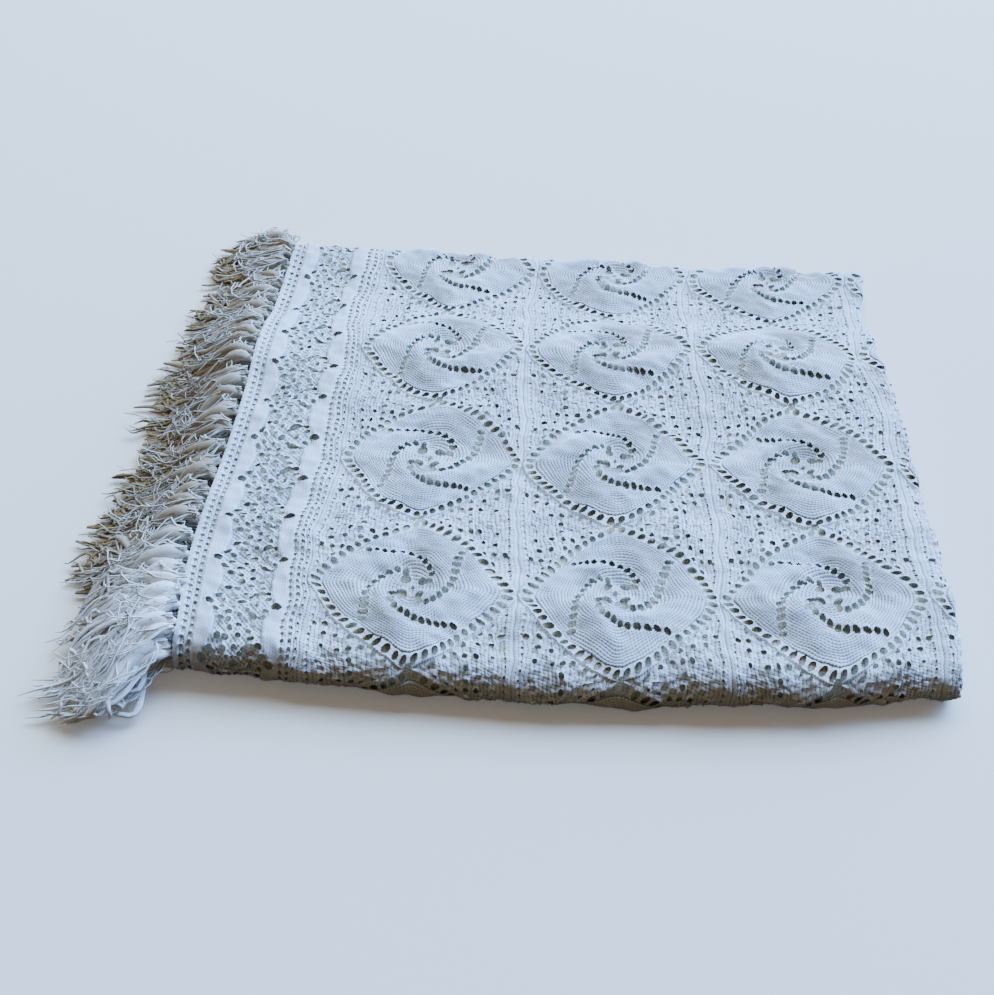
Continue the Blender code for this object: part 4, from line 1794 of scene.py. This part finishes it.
@dataclass(frozen=True)
class Lamp:
    """A light that shines at the bedspread from a place, or from that side if it is far off.

    How soft its shadows are comes from the spread in degrees of one far off, or the side of a square one.
    """

    name: str
    kind: LampKind
    place: tuple[float, float, float]
    softness: float
    power: float
    colour: str

    def build(self) -> None:
        """Makes the light."""
        lamp = bpy.data.lights.new(self.name, self.kind.value)
        if self.kind is LampKind.FAR_OFF:
            lamp.angle = math.radians(self.softness)
        else:
            lamp.size = self.softness
        lamp.energy = self.power
        lamp.color = linear(self.colour)[:3]
        x, y, z = self.place
        holder = bpy.data.objects.new(self.name, lamp)
        holder.location = self.place
        holder.rotation_euler = (math.atan2(math.hypot(x, y), z), 0, math.atan2(x, -y))
        bpy.context.scene.collection.objects.link(holder)


@dataclass
class Studio:
    """A pale floor, soft light and the camera."""

    lamps: tuple[Lamp, ...] = (
        Lamp("daylight", LampKind.FAR_OFF, (2.00, 1.95, 1.25), 60, 12.2, "#7cb2ff"),
        Lamp("window", LampKind.SQUARE, (3.0, 2.3, 2.5), 2.1, 250, "#7cb2ff"),
        Lamp("sky", LampKind.SQUARE, (0.2, 2.3, 3.2), 3.0, 310, "#aac4e0"),
    )
    # The camera: where it is, how far it looks down and to the left in degrees, and its lens in millimetres.
    place: tuple[float, float, float] = (0.0188, -0.8465, 0.7411)
    down: float = 43.72
    turn: float = 1.82
    focal: float = 47.035176
    sensor: float = 36.0
    # The floor: its colour, and a little light of its own, so that the shadow on it stays neutral.
    floor_size: float = 80.0
    floor_colour: str = "#fbeedd"
    floor_glow: str = "#cfd4dc"
    floor_glow_strength: float = 0.16
    # The room's own light from above and below, and the wall that shows past the floor.
    room_above: str = "#e4cda2"
    room_below: str = "#3a3328"
    room_light: float = 0.24
    wall_colour: str = "#dfe4e8"

    def floor(self) -> None:
        """Lays the floor."""
        bpy.ops.object.select_all(action="DESELECT")
        bpy.ops.mesh.primitive_plane_add(size=self.floor_size, location=(0, 0, -BED_CLEARANCE))
        floor = bpy.context.object
        floor.name = "floor"
        made = bpy.data.materials.new("pale_matt_floor")
        made.use_nodes = True
        shader = made.node_tree.nodes["Principled BSDF"]
        shader.inputs["Base Color"].default_value = linear(self.floor_colour)
        shader.inputs["Roughness"].default_value = 0.9
        shader.inputs["Emission Color"].default_value = linear(self.floor_glow)
        shader.inputs["Emission Strength"].default_value = self.floor_glow_strength
        floor.data.materials.append(made)
        # The cloth gets no light from the floor, so that its sides and its holes stay dark enough.
        floor.visible_diffuse = False

    def room(self) -> None:
        """Makes the room round the floor: a weak warm light from above, and a pale wall beyond the floor."""
        world = bpy.data.worlds.new("room")
        world.use_nodes = True
        tree = world.node_tree
        tree.nodes.clear()
        towards = add_node(tree, "ShaderNodeTexCoord").outputs["Generated"]
        way = add_node(tree, "ShaderNodeSeparateXYZ", {0: towards})
        rise = add_node(tree, "ShaderNodeMapRange", {"Value": way.outputs[2], 1: -0.15, 2: 0.35}).outputs[0]
        below, above = linear(self.room_below), linear(self.room_above)
        fill = add_node(tree, "ShaderNodeMix", {0: rise, 6: below, 7: above}, data_type="RGBA").outputs[2]
        light = add_node(tree, "ShaderNodeBackground", {"Color": fill, "Strength": self.room_light})
        wall = add_node(tree, "ShaderNodeBackground", {"Color": linear(self.wall_colour), "Strength": 1.0})
        seen = add_node(tree, "ShaderNodeLightPath").outputs["Is Camera Ray"]
        both = add_node(tree, "ShaderNodeMixShader", {0: seen, 1: light.outputs[0], 2: wall.outputs[0]})
        add_node(tree, "ShaderNodeOutputWorld", {"Surface": both.outputs[0]})
        bpy.context.scene.world = world

    def camera(self) -> None:
        """Makes the camera."""
        lens = bpy.data.cameras.new("camera")
        lens.sensor_width = self.sensor
        lens.lens = self.focal
        camera = bpy.data.objects.new("camera", lens)
        camera.location = self.place
        camera.rotation_euler = Euler((math.radians(90 - self.down), 0, math.radians(self.turn)))
        bpy.context.scene.collection.objects.link(camera)
        bpy.context.scene.camera = camera

    def build(self) -> None:
        """Makes the floor, the lights, the room and the camera."""
        self.floor()
        for lamp in self.lamps:
            lamp.build()
        self.room()
        self.camera()


def main() -> None:
    """Builds the bedspread and the studio."""
    logging.basicConfig(level=logging.INFO, format="%(message)s")
    top = TopLace()
    lace = top.build()
    cord = EdgeCord().build()
    layers = Layers().build(top)
    fringes = [
        Fringe("fringe_upper", 0.0, "fringe_a", 11).build(),
        Fringe("fringe_lower", WIDTH, "fringe_b", 12).build(),
    ]
    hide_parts("field", "border_b")
    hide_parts("border_a")
    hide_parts("fringe_a")
    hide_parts("fringe_b")
    top.declare(lace)
    Layers().declare(layers, top, [*lace, cord, *fringes])
    Studio().build()


if __name__ == "__main__":
    main()
